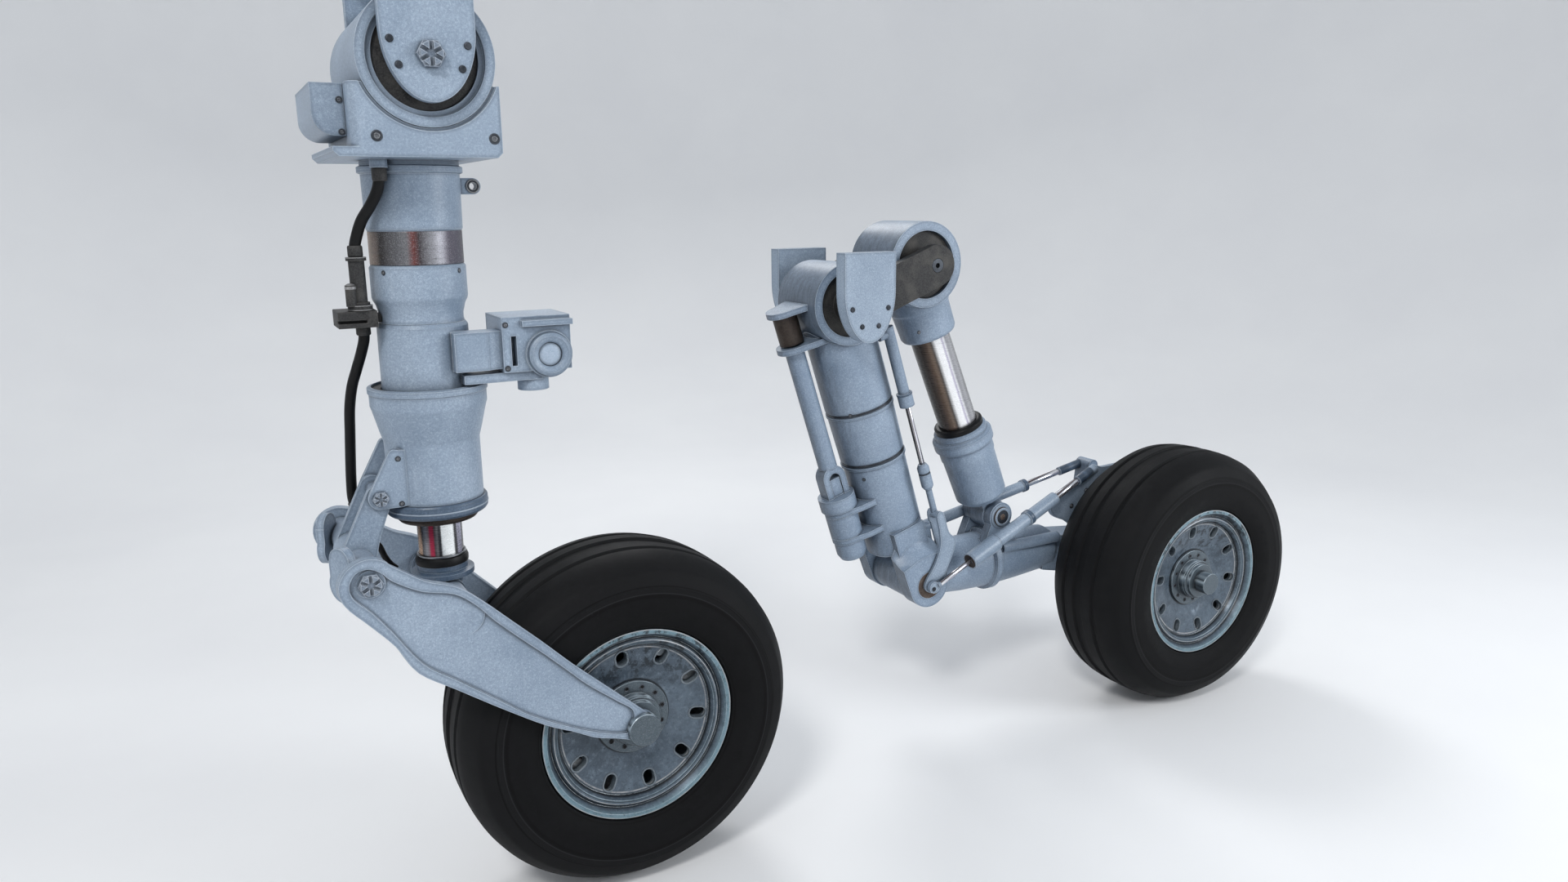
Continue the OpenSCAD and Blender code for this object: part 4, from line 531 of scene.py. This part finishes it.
class Piece:
    """One small part, built from turned, swept and flat forms."""

    def __init__(self):
        self.bm = bmesh.new()

    def bridge(self, a, b):
        """Faces between two rings of one length."""
        for k in range(len(a)):
            m = (k + 1) % len(a)
            self.bm.faces.new((a[k], a[m], b[m], b[k]))

    def turned(self, profile, origin, axis, steps=40):
        """A turned form; profile holds (radius, distance along the axis) points."""
        turn = Vector((0.0, 0.0, 1.0)).rotation_difference(Vector(axis).normalized())
        rings = []
        for radius, along in profile:
            angles = [2 * math.pi * k / steps for k in range(steps if radius else 1)]
            places = [Vector((radius * math.cos(a), radius * math.sin(a), along)) for a in angles]
            rings.append([self.bm.verts.new(Vector(origin) + turn @ place) for place in places])
        closed = len(rings[0]) > 1 and len(rings[-1]) > 1
        pairs = list(zip(rings, rings[1:])) + ([(rings[-1], rings[0])] if closed else [])
        for a, b in pairs:
            for k in range(steps):
                m = (k + 1) % steps
                loop = ([a[k], a[m]] if len(a) > 1 else [a[0]]) + ([b[m], b[k]] if len(b) > 1 else [b[0]])
                if len(loop) > 2:
                    self.bm.faces.new(loop)
        return self

    def swept(self, points, radius, sides=20, fine=8):
        """A round hose through the points, with fine steps between two of them."""
        points = [Vector(p) for p in points]
        ends = [points[0] * 2 - points[1]] + points + [points[-1] * 2 - points[-2]]
        line = []
        for a, b, c, d in zip(ends, ends[1:], ends[2:], ends[3:]):
            for k in range(fine):
                t = k / fine
                line.append(0.5 * ((2 * b) + (c - a) * t + (2 * a - 5 * b + 4 * c - d) * t * t
                    + (3 * b - a - 3 * c + d) * t ** 3))
        line.append(points[-1])
        side = (line[1] - line[0]).orthogonal().normalized()
        rings = []
        for k, place in enumerate(line):
            ahead = (line[min(k + 1, len(line) - 1)] - line[max(k - 1, 0)]).normalized()
            side = (side - ahead * side.dot(ahead)).normalized()
            other = ahead.cross(side)
            rings.append([self.bm.verts.new(place + radius * (math.cos(a) * side + math.sin(a) * other))
                for a in (2 * math.pi * m / sides for m in range(sides))])
        for a, b in zip(rings, rings[1:]):
            self.bridge(a, b)
        self.bm.faces.new(list(reversed(rings[0])))
        self.bm.faces.new(rings[-1])
        return self

    def slab(self, outline, origin, right, up, depth):
        """A flat outline given a thickness along right x up."""
        right, up = Vector(right), Vector(up)
        out = right.cross(up).normalized() * depth
        low = [self.bm.verts.new(Vector(origin) + right * a + up * b) for a, b in outline]
        high = [self.bm.verts.new(v.co + out) for v in low]
        self.bm.faces.new(list(reversed(low)))
        self.bm.faces.new(high)
        for k in range(len(low)):
            m = (k + 1) % len(low)
            self.bm.faces.new((low[k], low[m], high[m], high[k]))
        return self

    def slot_collar(self, outer, inner, run, origin, right, up, low, high, steps=36):
        """A collar round a long hole: half widths, half the straight run, and its ends along right x up."""
        right, up = Vector(right), Vector(up)
        out = right.cross(up).normalized()
        rings = []
        for half, along in ((inner, low), (outer, low), (outer, high), (inner, high)):
            ring = []
            for k in range(steps):
                a = 2 * math.pi * (k + 0.5) / steps
                shift = run if math.cos(a) > 0 else -run
                place = Vector(origin) + right * (shift + half * math.cos(a)) + up * half * math.sin(a) + out * along
                ring.append(self.bm.verts.new(place))
            rings.append(ring)
        for a, b in zip(rings, rings[1:] + rings[:1]):
            self.bridge(a, b)
        return self

    def done(self, name, material, body, slot, soft=0.0005, replaces=(), angle=35):
        """Makes the object; soft is the width of its rounded edges."""
        bmesh.ops.recalc_face_normals(self.bm, faces=self.bm.faces)
        mesh = bpy.data.meshes.new(name)
        self.bm.to_mesh(mesh)
        self.bm.free()
        mesh.shade_smooth()
        mesh.set_sharp_from_angle(angle=math.radians(angle))
        mesh.materials.append(material)
        piece = bpy.data.objects.new(name, mesh)
        bpy.context.scene.collection.objects.link(piece)
        if soft:
            bevel = piece.modifiers.new("soft_edges", "BEVEL")
            bevel.width = soft
            bevel.segments = 2
            bevel.limit_method = "ANGLE"
            bevel.angle_limit = math.radians(angle)
            bevel.harden_normals = True
        if replaces:
            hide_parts(*replaces)
        if body:
            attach(piece, body)
        return piece


def on_strut(degrees, radius, z):
    """A place on the nose strut's skin; -90 degrees faces the near side."""
    return Vector((STRUT_X + radius * math.cos(math.radians(degrees)), radius * math.sin(math.radians(degrees)), z))


def sleeve(name, start, end, span, radius, material, body, slot, inner=0.0012):
    """A sleeve round a rod from start to end; span holds two shares of its length, inner the sleeve's wall."""
    start, end = Vector(start), Vector(end)
    length = (end - start).length
    a, b = span[0] * length, span[1] * length
    profile = [(radius - inner, a), (radius - 0.0002, a), (radius, a + 0.0003), (radius, b - 0.0003),
        (radius - 0.0002, b), (radius - inner, b)]
    Piece().turned(profile, start, end - start, 36).done(name, material, body, slot, 0.0)


def from_line(place, origin, along):
    """The way out from a line to a place beside it."""
    gap = Vector(place) - Vector(origin)
    return gap - Vector(along) * gap.dot(Vector(along))


def sunk_bolts(name, places, axis, radius, body, line=None):
    """Socket screws in shallow dark rings, standing hardly proud of the face.

    Their axis is given, or points away from a line (a place on it and its way).
    """
    ring = Piece()
    core = Piece()
    for place in places:
        if line:
            axis = from_line(place, *line)
        ring.turned([(radius * 0.62, -0.0010), (radius, -0.0010), (radius, 0.0006), (radius * 0.92, 0.0011),
            (radius * 0.66, 0.0009), (radius * 0.62, 0.0003)], place, axis, 28)
        core.turned([(0.0, -0.0009), (radius * 0.60, -0.0009), (radius * 0.60, 0.0007), (radius * 0.50, 0.0015),
            (radius * 0.30, 0.0015), (radius * 0.28, 0.0004), (0.0, 0.0004)], place, axis, 24)
    ring.done(name + "_rings", BOLT, body, "dark_metal", 0.0002)
    core.done(name + "_screws", STEEL, body, "steel", 0.0002)


def strut_ring(name, profile, z, steps, material, body, slot, soft):
    """A ring round the nose strut, its profile counted up from z."""
    Piece().turned(profile, (STRUT_X, 0.0, z), UP, steps).done(name, material, body, slot, soft)


def nose_details():
    """Screws, the ear's rings, and the lines and seals round the strut."""
    sunk_bolts("saddle_bolts", [(-0.0728, -0.130, -0.2741), (0.0830, -0.130, -0.2753)], NEAR, 0.0075, "nose_strut")
    sunk_bolts("side_box_bolts", [(-0.111, -0.092, -0.2265), (-0.111, -0.092, -0.2680)], NEAR, 0.0045, "nose_strut")
    sunk_bolts("light_box_bolts", [(0.0925, -0.082, -0.5405), (0.0925, -0.082, -0.6060)], NEAR, 0.0045,
        "nose_strut")
    sunk_bolts("bracket_screws", [(-0.0716, -0.050, -0.7318), (-0.0715, -0.050, -0.8010)], NEAR, 0.0042,
        "nose_steering")
    # Open rings, which leave the ear's hole free
    centre = Vector((0.0765, -0.0071, -0.337))
    profile = [(0.0084, 0.0), (0.0104, 0.0), (0.0104, 0.0012), (0.0092, 0.0022), (0.0084, 0.0016)]
    Piece().turned(profile, centre, NEAR, 40).done("ear_ring", PALE_WORN, "nose_strut", "paint", 0.0002)
    profile = [(0.0061, 0.0), (0.0090, 0.0), (0.0090, 0.0014), (0.0061, 0.0014)]
    Piece().turned(profile, centre, NEAR, 6).done("ear_star", BOLT, "nose_strut", "dark_metal", 0.0001, angle=20)
    profile = [(0.0052, 0.0), (0.0061, 0.0), (0.0061, 0.0020), (0.0052, 0.0020)]
    Piece().turned(profile, centre, NEAR, 32).done("ear_star_ring", PALE_WORN, "nose_strut", "steel", 0.0001)
    # Collar rivets, the thin rusty line under the ring on the upper tube, and the groove over the cone
    sunk_bolts("collar_rivets", [on_strut(-143.9, 0.0690, -0.4592), on_strut(-44.0, 0.0690, -0.4592)], None, 0.0036,
        "nose_strut", ((STRUT_X, 0.0, 0.0), (0.0, 0.0, 1.0)))
    strut_ring("upper_tube_line", [(0.0660, 0.0), (0.0704, 0.0), (0.0706, 0.0009), (0.0704, 0.0018),
        (0.0660, 0.0018)], -0.3180, 80, UMBER, "nose_strut", "dark_metal", 0.0)
    strut_ring("steering_ring_line", [(0.0690, 0.0), (0.0772, 0.0), (0.0776, 0.0012), (0.0772, 0.0024),
        (0.0690, 0.0024)], -0.8205, 72, PAINT, "nose_steering", "paint", 0.0002)
    strut_ring("base_seal", [(0.0341, 0.0), (0.0400, 0.0), (0.0405, 0.0030), (0.0405, 0.0085), (0.0385, 0.0130),
        (0.0345, 0.0140)], -0.9152, 64, BLACK, "nose_piston_rod", "black_rubber", 0.0004)
    strut_ring("base_seal_rim", [(0.0342, 0.0), (0.0372, 0.0), (0.0372, 0.0030), (0.0342, 0.0030)], -0.9010, 64,
        STEEL, "nose_piston_rod", "steel", 0.0003)
    strut_ring("wiper_ring", [(0.0400, 0.0), (0.0580, 0.0), (0.0606, 0.0030), (0.0612, 0.0050), (0.0612, 0.0121),
        (0.0400, 0.0121)], -0.8415, 80, UMBER, "nose_steering", "dark_metal", 0.0006)


# The wheel's small parts: circles' radii and places along the axle in metres, counts and turns in degrees
BOLT_COUNT, BOLT_CIRCLE, BOLT_FACE, BOLT_TURN = 12, 0.0545, 0.0641, 0.35
HOLE_COUNT, HOLE_CIRCLE, HOLE_FACE, HOLE_TURN = 10, 0.117, 0.0742, 8
HOLE_RUN = 0.0045
# The disc leans: its share outward and its share along the axle
DISC_OUT, DISC_ALONG = 0.9823, 0.187
BAND_FACE = 0.0670


def wheel_details(hub, sides, tag, body):
    """Collars in the disc's holes, bolts on the hub's flange, and the bright band on its barrel."""
    for side in sides:
        face = -1.0 if side == "near" else 1.0
        axis = Vector((0.0, face, 0.0))
        places = []
        for k in range(BOLT_COUNT):
            a = 2 * math.pi * (k + BOLT_TURN) / BOLT_COUNT
            places.append(hub + Vector((BOLT_CIRCLE * math.cos(a), face * BOLT_FACE, BOLT_CIRCLE * math.sin(a))))
        walls = Piece()
        lines = Piece()
        for k in range(HOLE_COUNT):
            a = math.radians(360 // HOLE_COUNT * k + HOLE_TURN)
            radial = Vector((math.cos(a), 0.0, -math.sin(a)))
            right = radial * DISC_OUT + Vector((0.0, face * DISC_ALONG, 0.0))
            up = right.cross(axis).normalized() * -1.0
            if right.cross(up).dot(axis) < 0:
                up = -up
            place = hub + radial * HOLE_CIRCLE + Vector((0.0, face * HOLE_FACE, 0.0))
            walls.slot_collar(0.0122, 0.0098, HOLE_RUN, place, right, up, -0.0150, 0.0007)
            # Dark rings round the holes' rims: painted shade
            lines.slot_collar(0.0129, 0.0121, HOLE_RUN, place, right, up, -0.0020, 0.0005)
        walls.done(f"{tag}_{side}_hole_walls", PALE_BLUE, body, "wheel_paint", 0.0)
        lines.done(f"{tag}_{side}_hole_shade_rings", BOLT, body, "dark_metal", 0.0)
        holes = Piece()
        pins = Piece()
        for place in places:
            holes.turned([(0.0030, -0.0006), (0.0046, -0.0006), (0.0048, 0.0004), (0.0042, 0.0010), (0.0030, 0.0002)],
                place, axis, 20)
            pins.turned([(0.0, -0.0005), (0.0029, -0.0005), (0.0029, 0.0001), (0.0, 0.0002)], place, axis, 16)
        holes.done(f"{tag}_{side}_hub_bolt_rims", BOLT, body, "dark_metal", 0.0001)
        pins.done(f"{tag}_{side}_hub_bolts", BLACK, body, "dark_metal", 0.0)
        profile = [(0.0435, 0.0), (0.0448, 0.0), (0.0456, 0.0018), (0.0456, 0.0095), (0.0448, 0.0115),
            (0.0435, 0.0115)]
        Piece().turned(profile, hub + axis * BAND_FACE, axis, 72).done(f"{tag}_{side}_hub_band", HUB, body, "chrome",
            0.0003)


def axle_ends():
    """Broad round ends of the nose axle over the fork's eyes."""
    thick = 0.0130
    profile = [(0.0, 0.0), (0.0282, 0.0), (0.0288, 0.0008), (0.0288, 0.0118), (0.0276, thick), (0.0, thick)]
    for side, face in (("near", -1.0), ("far", 1.0)):
        place = NOSE_HUB + Vector((0.0, face * (FORK_END_Y - thick), 0.0))
        Piece().turned(profile, place, (0.0, face, 0.0), 72).done(f"axle_end_{side}", HUB, "nose_fork", "dark_metal",
            0.0004)


HOSE_RADIUS, FORK_HOSE_RADIUS = 0.0079, 0.0050


def hoses():
    """Smooth hoses in place of the plain solids, each with crimped ends."""
    upper = [(-0.064, -0.064, -0.3134), (-0.064, -0.064, -0.323), (-0.068, -0.059, -0.344), (-0.078, -0.050, -0.365),
        (-0.090, -0.041, -0.385), (-0.097, -0.034, -0.405), (-0.101, -0.030, -0.422), (-0.101, -0.030, -0.4357)]
    lower = [(-0.096, 0.0, -0.5366), (-0.096, 0.001, -0.556), (-0.101, 0.010, -0.579), (-0.108, 0.020, -0.603),
        (-0.116, 0.030, -0.631), (-0.121, 0.040, -0.665), (-0.123, 0.050, -0.705), (-0.125, 0.058, -0.745),
        (-0.127, 0.062, -0.785), (-0.127, 0.064, -0.812), (-0.122, 0.064, -0.830)]
    Piece().swept(upper, HOSE_RADIUS).done("hose_upper_smooth", BLACK, "nose_strut", "black_rubber", 0.0,
        ("hose_upper",), 60)
    low = Piece().swept(lower, HOSE_RADIUS).done("hose_lower_smooth", BLACK, None, "black_rubber", 0.0,
        ("hose_lower",), 60)
    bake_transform(low)
    crimps = Piece()
    for place, way, straight, tall in (((-0.064, -0.064, -0.3135), DOWN, 0.0150, 0.0175),
            ((-0.101, -0.030, -0.4358), UP, 0.0140, 0.0160), ((-0.096, 0.0, -0.5367), DOWN, 0.0120, 0.0140)):
        crimps.turned([(0.0080, 0.0), (0.0098, 0.0), (0.0104, 0.0020), (0.0104, straight), (0.0096, tall),
            (0.0080, tall)], place, way, 24)
    crimps.done("hose_crimps", DARK_METAL, "nose_strut", "dark_metal", 0.0003)
    worn = Piece()
    place = Vector((-0.101, -0.030, 0.0))
    for z, radius, tall in ((-0.4372, 0.0144, 0.0012), (-0.5052, 0.0175, 0.0011), (-0.5110, 0.0175, 0.0010)):
        worn.turned([(radius - 0.0030, z), (radius - 0.0004, z), (radius, z + 0.0003), (radius, z + tall),
            (radius - 0.0030, z + tall)], place, UP, 40)
    capsule = Vector((-0.113, -0.038, -0.4755))
    worn.turned([(0.0, 0.0035), (0.0026, 0.0032), (0.0050, 0.0022), (0.0070, 0.0004), (0.0079, -0.0025),
        (0.0079, -0.0050), (0.0, -0.0050)], capsule, UP, 32)
    worn.done("fitting_worn_rims", PALE_WORN, "nose_strut", "steel", 0.0)
    fork = [(-0.1060, 0.040, -0.8800), (-0.0980, 0.040, -0.8880), (-0.0915, 0.040, -0.9060),
        (-0.0840, 0.040, -0.9200), (-0.0756, 0.040, -0.9291)]
    Piece().swept(fork, FORK_HOSE_RADIUS, 14).done("fork_hose", BLACK, "nose_piston_rod", "black_rubber", 0.0,
        angle=60)
    tail = Piece()
    tail.turned([(0.0, 0.0), (0.0094, 0.0), (0.0104, 0.0015), (0.0104, 0.0170), (0.0096, 0.0190), (0.0080, 0.0190),
        (0.0080, 0.0120), (0.0, 0.0120)], (-0.1205, 0.064, -0.8345), (-0.25, 0.0, 0.97), 24)
    tail.slab([(-0.013, -0.010), (0.013, -0.010), (0.013, 0.008), (-0.013, 0.008)], (-0.1185, 0.0760, -0.8440),
        (1, 0, 0), (0, 0, 1), 0.026)
    tail.done("hose_union_block", DARK_METAL, "nose_steering", "dark_metal", 0.0008)


def main_details():
    """Rivets, grooves and rings on the main leg, the shock's eye, and the sleeves on the rods."""
    rivets = []
    for place, radius in (((0.8449, 0.141, -0.7932), 0.0729), ((0.8862, 0.1521, -0.9375), 0.0682)):
        out = from_line(place, LEG_TOP, LEG_DOWN)
        rivets.append(Vector(place) + out.normalized() * (radius - out.length))
    sunk_bolts("leg_rivets", rivets, None, 0.0038, "main_leg", (LEG_TOP, LEG_DOWN))
    # A dark groove and a raised ring at two heights of the leg; t runs down it
    inner = 0.0640
    for name, t, deep, proud in (("high", 0.2280, 0.0718, 0.0738), ("low", 0.3450, 0.0690, 0.0716)):
        profile = [(inner, t - 0.0024), (deep, t - 0.0024), (deep, t + 0.0022), (inner, t + 0.0022)]
        Piece().turned(profile, LEG_TOP, LEG_DOWN, 96).done(f"leg_groove_{name}", BOLT, "main_leg", "dark_metal", 0.0)
        profile = [(inner, t + 0.0040), (proud - 0.0008, t + 0.0040), (proud, t + 0.0050), (proud, t + 0.0098),
            (proud - 0.0010, t + 0.0112), (inner, t + 0.0112)]
        Piece().turned(profile, LEG_TOP, LEG_DOWN, 96).done(f"leg_ring_{name}", MAIN_SHADED_PAINT, "main_leg", "paint",
            0.0004)
    # A flat dark disc stands for the hole in the knuckle's end: painted shade
    place = KNUCKLE + Vector((-0.0025, -0.1141, -0.0030))
    Piece().turned([(0.0, 0.0), (0.0052, 0.0), (0.0052, 0.0005), (0.0, 0.0006)], place, NEAR, 24).done(
        "knuckle_end_hole", BOLT, "main_arm", "dark_metal", 0.0001)
    sunk_bolts("axle_plate_bolts", [(1.464, 0.134, -1.076), (1.509, 0.134, -1.044), (1.577, 0.134, -1.019)],
        NEAR, 0.0060, "main_arm")
    rings = Piece()
    caps = Piece()
    dark = Piece()
    buttons = Piece()
    for side in (-1.0, 1.0):
        axis = (0.0, side, 0.0)
        rings.turned([(0.0225, -0.0010), (0.0285, -0.0010), (0.0285, 0.0015), (0.0268, 0.0030), (0.0225, 0.0030)],
            SHOCK_EYE + Vector((0.0, side * 0.050, 0.0)), axis, 56)
        face = SHOCK_EYE + Vector((0.0, side * 0.0558, 0.0))
        caps.turned([(0.0160, 0.0), (0.0215, 0.0), (0.0215, 0.0010), (0.0206, 0.0020), (0.0168, 0.0020),
            (0.0160, 0.0012)], face, axis, 48)
        dark.turned([(0.0, 0.0), (0.0161, 0.0), (0.0161, 0.0005), (0.0, 0.0005)], face, axis, 40)
        buttons.turned([(0.0, 0.0), (0.0072, 0.0), (0.0072, 0.0010), (0.0060, 0.0017), (0.0, 0.0017)], face, axis, 32)
    rings.done("shock_eye_rings", PAINT, "main_arm", "paint", 0.0005)
    caps.done("shock_eye_caps", PAINT, "main_arm", "paint", 0.0003)
    dark.done("shock_eye_sockets", BOLT, "main_arm", "dark_metal", 0.0)
    buttons.done("shock_eye_buttons", RUST, "main_arm", "dark_metal", 0.0002)
    # Bright rods, dark sockets and the open mouth of the big tube on the near rod
    start, end = (1.029, 0.0762, -1.176), (1.538, 0.140, -0.994)
    sleeve("near_rod_bright_low", start, end, (0.012, 0.1885), 0.0057, CHROME, "main_arm", "chrome")
    sleeve("near_rod_mouth", start, end, (0.1886, 0.1916), 0.0165, UMBER, "main_arm", "dark_metal", 0.0104)
    sleeve("near_rod_lip", start, end, (0.1870, 0.2000), 0.0194, PAINT, "main_arm", "paint", 0.0030)
    sleeve("near_rod_ring", start, end, (0.3420, 0.3480), 0.0186, DARK_PAINT, "main_arm", "dark_paint", 0.0040)
    sleeve("near_rod_joint", start, end, (0.5420, 0.5630), 0.0178, DARK_PAINT, "main_arm", "dark_paint", 0.0030)
    sleeve("near_rod_bright_high", start, end, (0.7260, 0.8860), 0.0083, CHROME, "main_arm", "chrome")
    sleeve("near_rod_socket", start, end, (0.8810, 0.9700), 0.0114, DARK_PAINT, "main_arm", "dark_paint")
    start, end = (1.113, 0.250, -1.102), (1.607, 0.250, -1.010)
    sleeve("far_rod_joint", start, end, (0.6010, 0.6240), 0.0153, DARK_PAINT, "main_arm", "dark_paint", 0.0030)
    sleeve("far_rod_bright", start, end, (0.6270, 0.8390), 0.0078, CHROME, "main_arm", "chrome")
    sleeve("far_rod_socket", start, end, (0.8410, 0.9800), 0.0104, DARK_PAINT, "main_arm", "dark_paint")
    start, end = on_leg(0.066, -0.080, 0.0), on_leg(0.066, -0.080, 1.0)
    sleeve("push_rod_bright", start, end, (0.2485, 0.3835), 0.0057, CHROME, "main_leg", "chrome")
    sleeve("push_rod_band", start, end, (0.2185, 0.2225), 0.0168, DARK_PAINT, "main_leg", "dark_paint", 0.0030)
    sleeve("turnbuckle_line", start, end, (0.4045, 0.4065), 0.0128, BOLT, "main_leg", "dark_metal", 0.0030)
    # The axle's broad end
    profile = [(0.0222, 0.0), (0.0246, 0.0), (0.0250, 0.0006), (0.0250, 0.0215), (0.0242, 0.0226), (0.0, 0.0226),
        (0.0, 0.0216), (0.0222, 0.0216)]
    Piece().turned(profile, MAIN_HUB + Vector((0.0, -0.0965, 0.0)), NEAR, 64).done("main_axle_sleeve", HUB,
        "main_arm", "chrome", 0.0004)
    sunk_bolts("shock_drum_rivet", [(1.0005, 0.122, -0.6306)], NEAR, 0.0042, "shock_upper")


# The stage and the light, in metres
STAGE_X = 0.9
FLOOR_RADIUS, CURVE, WALL_TOP = 3.2, 3.0, 7.0
LIGHT_TARGET = (0.8, 0.1, -0.85)
WORLD_COLOUR, WORLD_STRENGTH = (0.80, 0.86, 0.94, 1.0), 0.50


def add_light(name, place, size, power, colour=(1.0, 1.0, 1.0)):
    """A round area light that points at the middle of the set: size in metres, power in watts."""
    lamp = bpy.data.lights.new(name, "AREA")
    lamp.shape = "DISK"
    lamp.size = size
    lamp.energy = power
    lamp.color = colour
    holder = bpy.data.objects.new(name, lamp)
    bpy.context.scene.collection.objects.link(holder)
    holder.location = place
    holder.rotation_mode = "QUATERNION"
    holder.rotation_quaternion = (Vector(LIGHT_TARGET) - Vector(place)).to_track_quat("-Z", "Y")


def make_stage():
    """A pale floor that curves up into a wall all round, with no line between them."""
    profile = [(0.0, 0.0), (FLOOR_RADIUS, 0.0)]
    for a in (math.radians(d) for d in range(6, 91, 6)):
        profile.append((FLOOR_RADIUS + CURVE * math.sin(a), CURVE - CURVE * math.cos(a)))
    profile.append((FLOOR_RADIUS + CURVE, WALL_TOP))
    bm = bmesh.new()
    rings = []
    for radius, height in profile:
        angles = [math.radians(d) for d in (range(0, 360, 5) if radius else (0,))]
        rings.append([bm.verts.new((STAGE_X + radius * math.cos(a), radius * math.sin(a), FLOOR_Z + height))
            for a in angles])
    for a, b in zip(rings, rings[1:]):
        for k in range(len(b)):
            m = (k + 1) % len(b)
            bm.faces.new((a[0], b[k], b[m]) if len(a) == 1 else (a[k], b[k], b[m], a[m]))
    mesh = bpy.data.meshes.new("floor")
    bm.to_mesh(mesh)
    bm.free()
    mesh.shade_smooth()
    floor = bpy.data.objects.new("floor", mesh)
    bpy.context.scene.collection.objects.link(floor)
    n = Nodes("floor")
    n.finish(n.mix(n.grey(n.noise(1.5, 3.0), 0.3, 0.7), (0.80, 0.805, 0.815), (0.83, 0.835, 0.84)), 0.85)
    mesh.materials.append(n.material)
    world = bpy.data.worlds.new("world")
    bpy.context.scene.world = world
    world.use_nodes = True
    background = world.node_tree.nodes["Background"]
    background.inputs["Color"].default_value = WORLD_COLOUR
    background.inputs["Strength"].default_value = WORLD_STRENGTH
    add_light("key", (-2.0, -2.6, 2.6), 1.1, 118.0, (1.0, 0.99, 0.975))
    add_light("fill", (3.6, -2.6, 0.4), 1.6, 74.0, (0.95, 0.975, 1.0))
    add_light("back", (1.6, 3.0, 2.2), 1.6, 60.0)
    bpy.context.scene.view_settings.view_transform = "Standard"


place_camera()
dress_nodes()
nose_details()
wheel_details(NOSE_HUB, ("near", "far"), "nose", "nose_wheel")
wheel_details(MAIN_HUB, ("near",), "main", "main_wheel")
hoses()
axle_ends()
main_details()
make_stage()
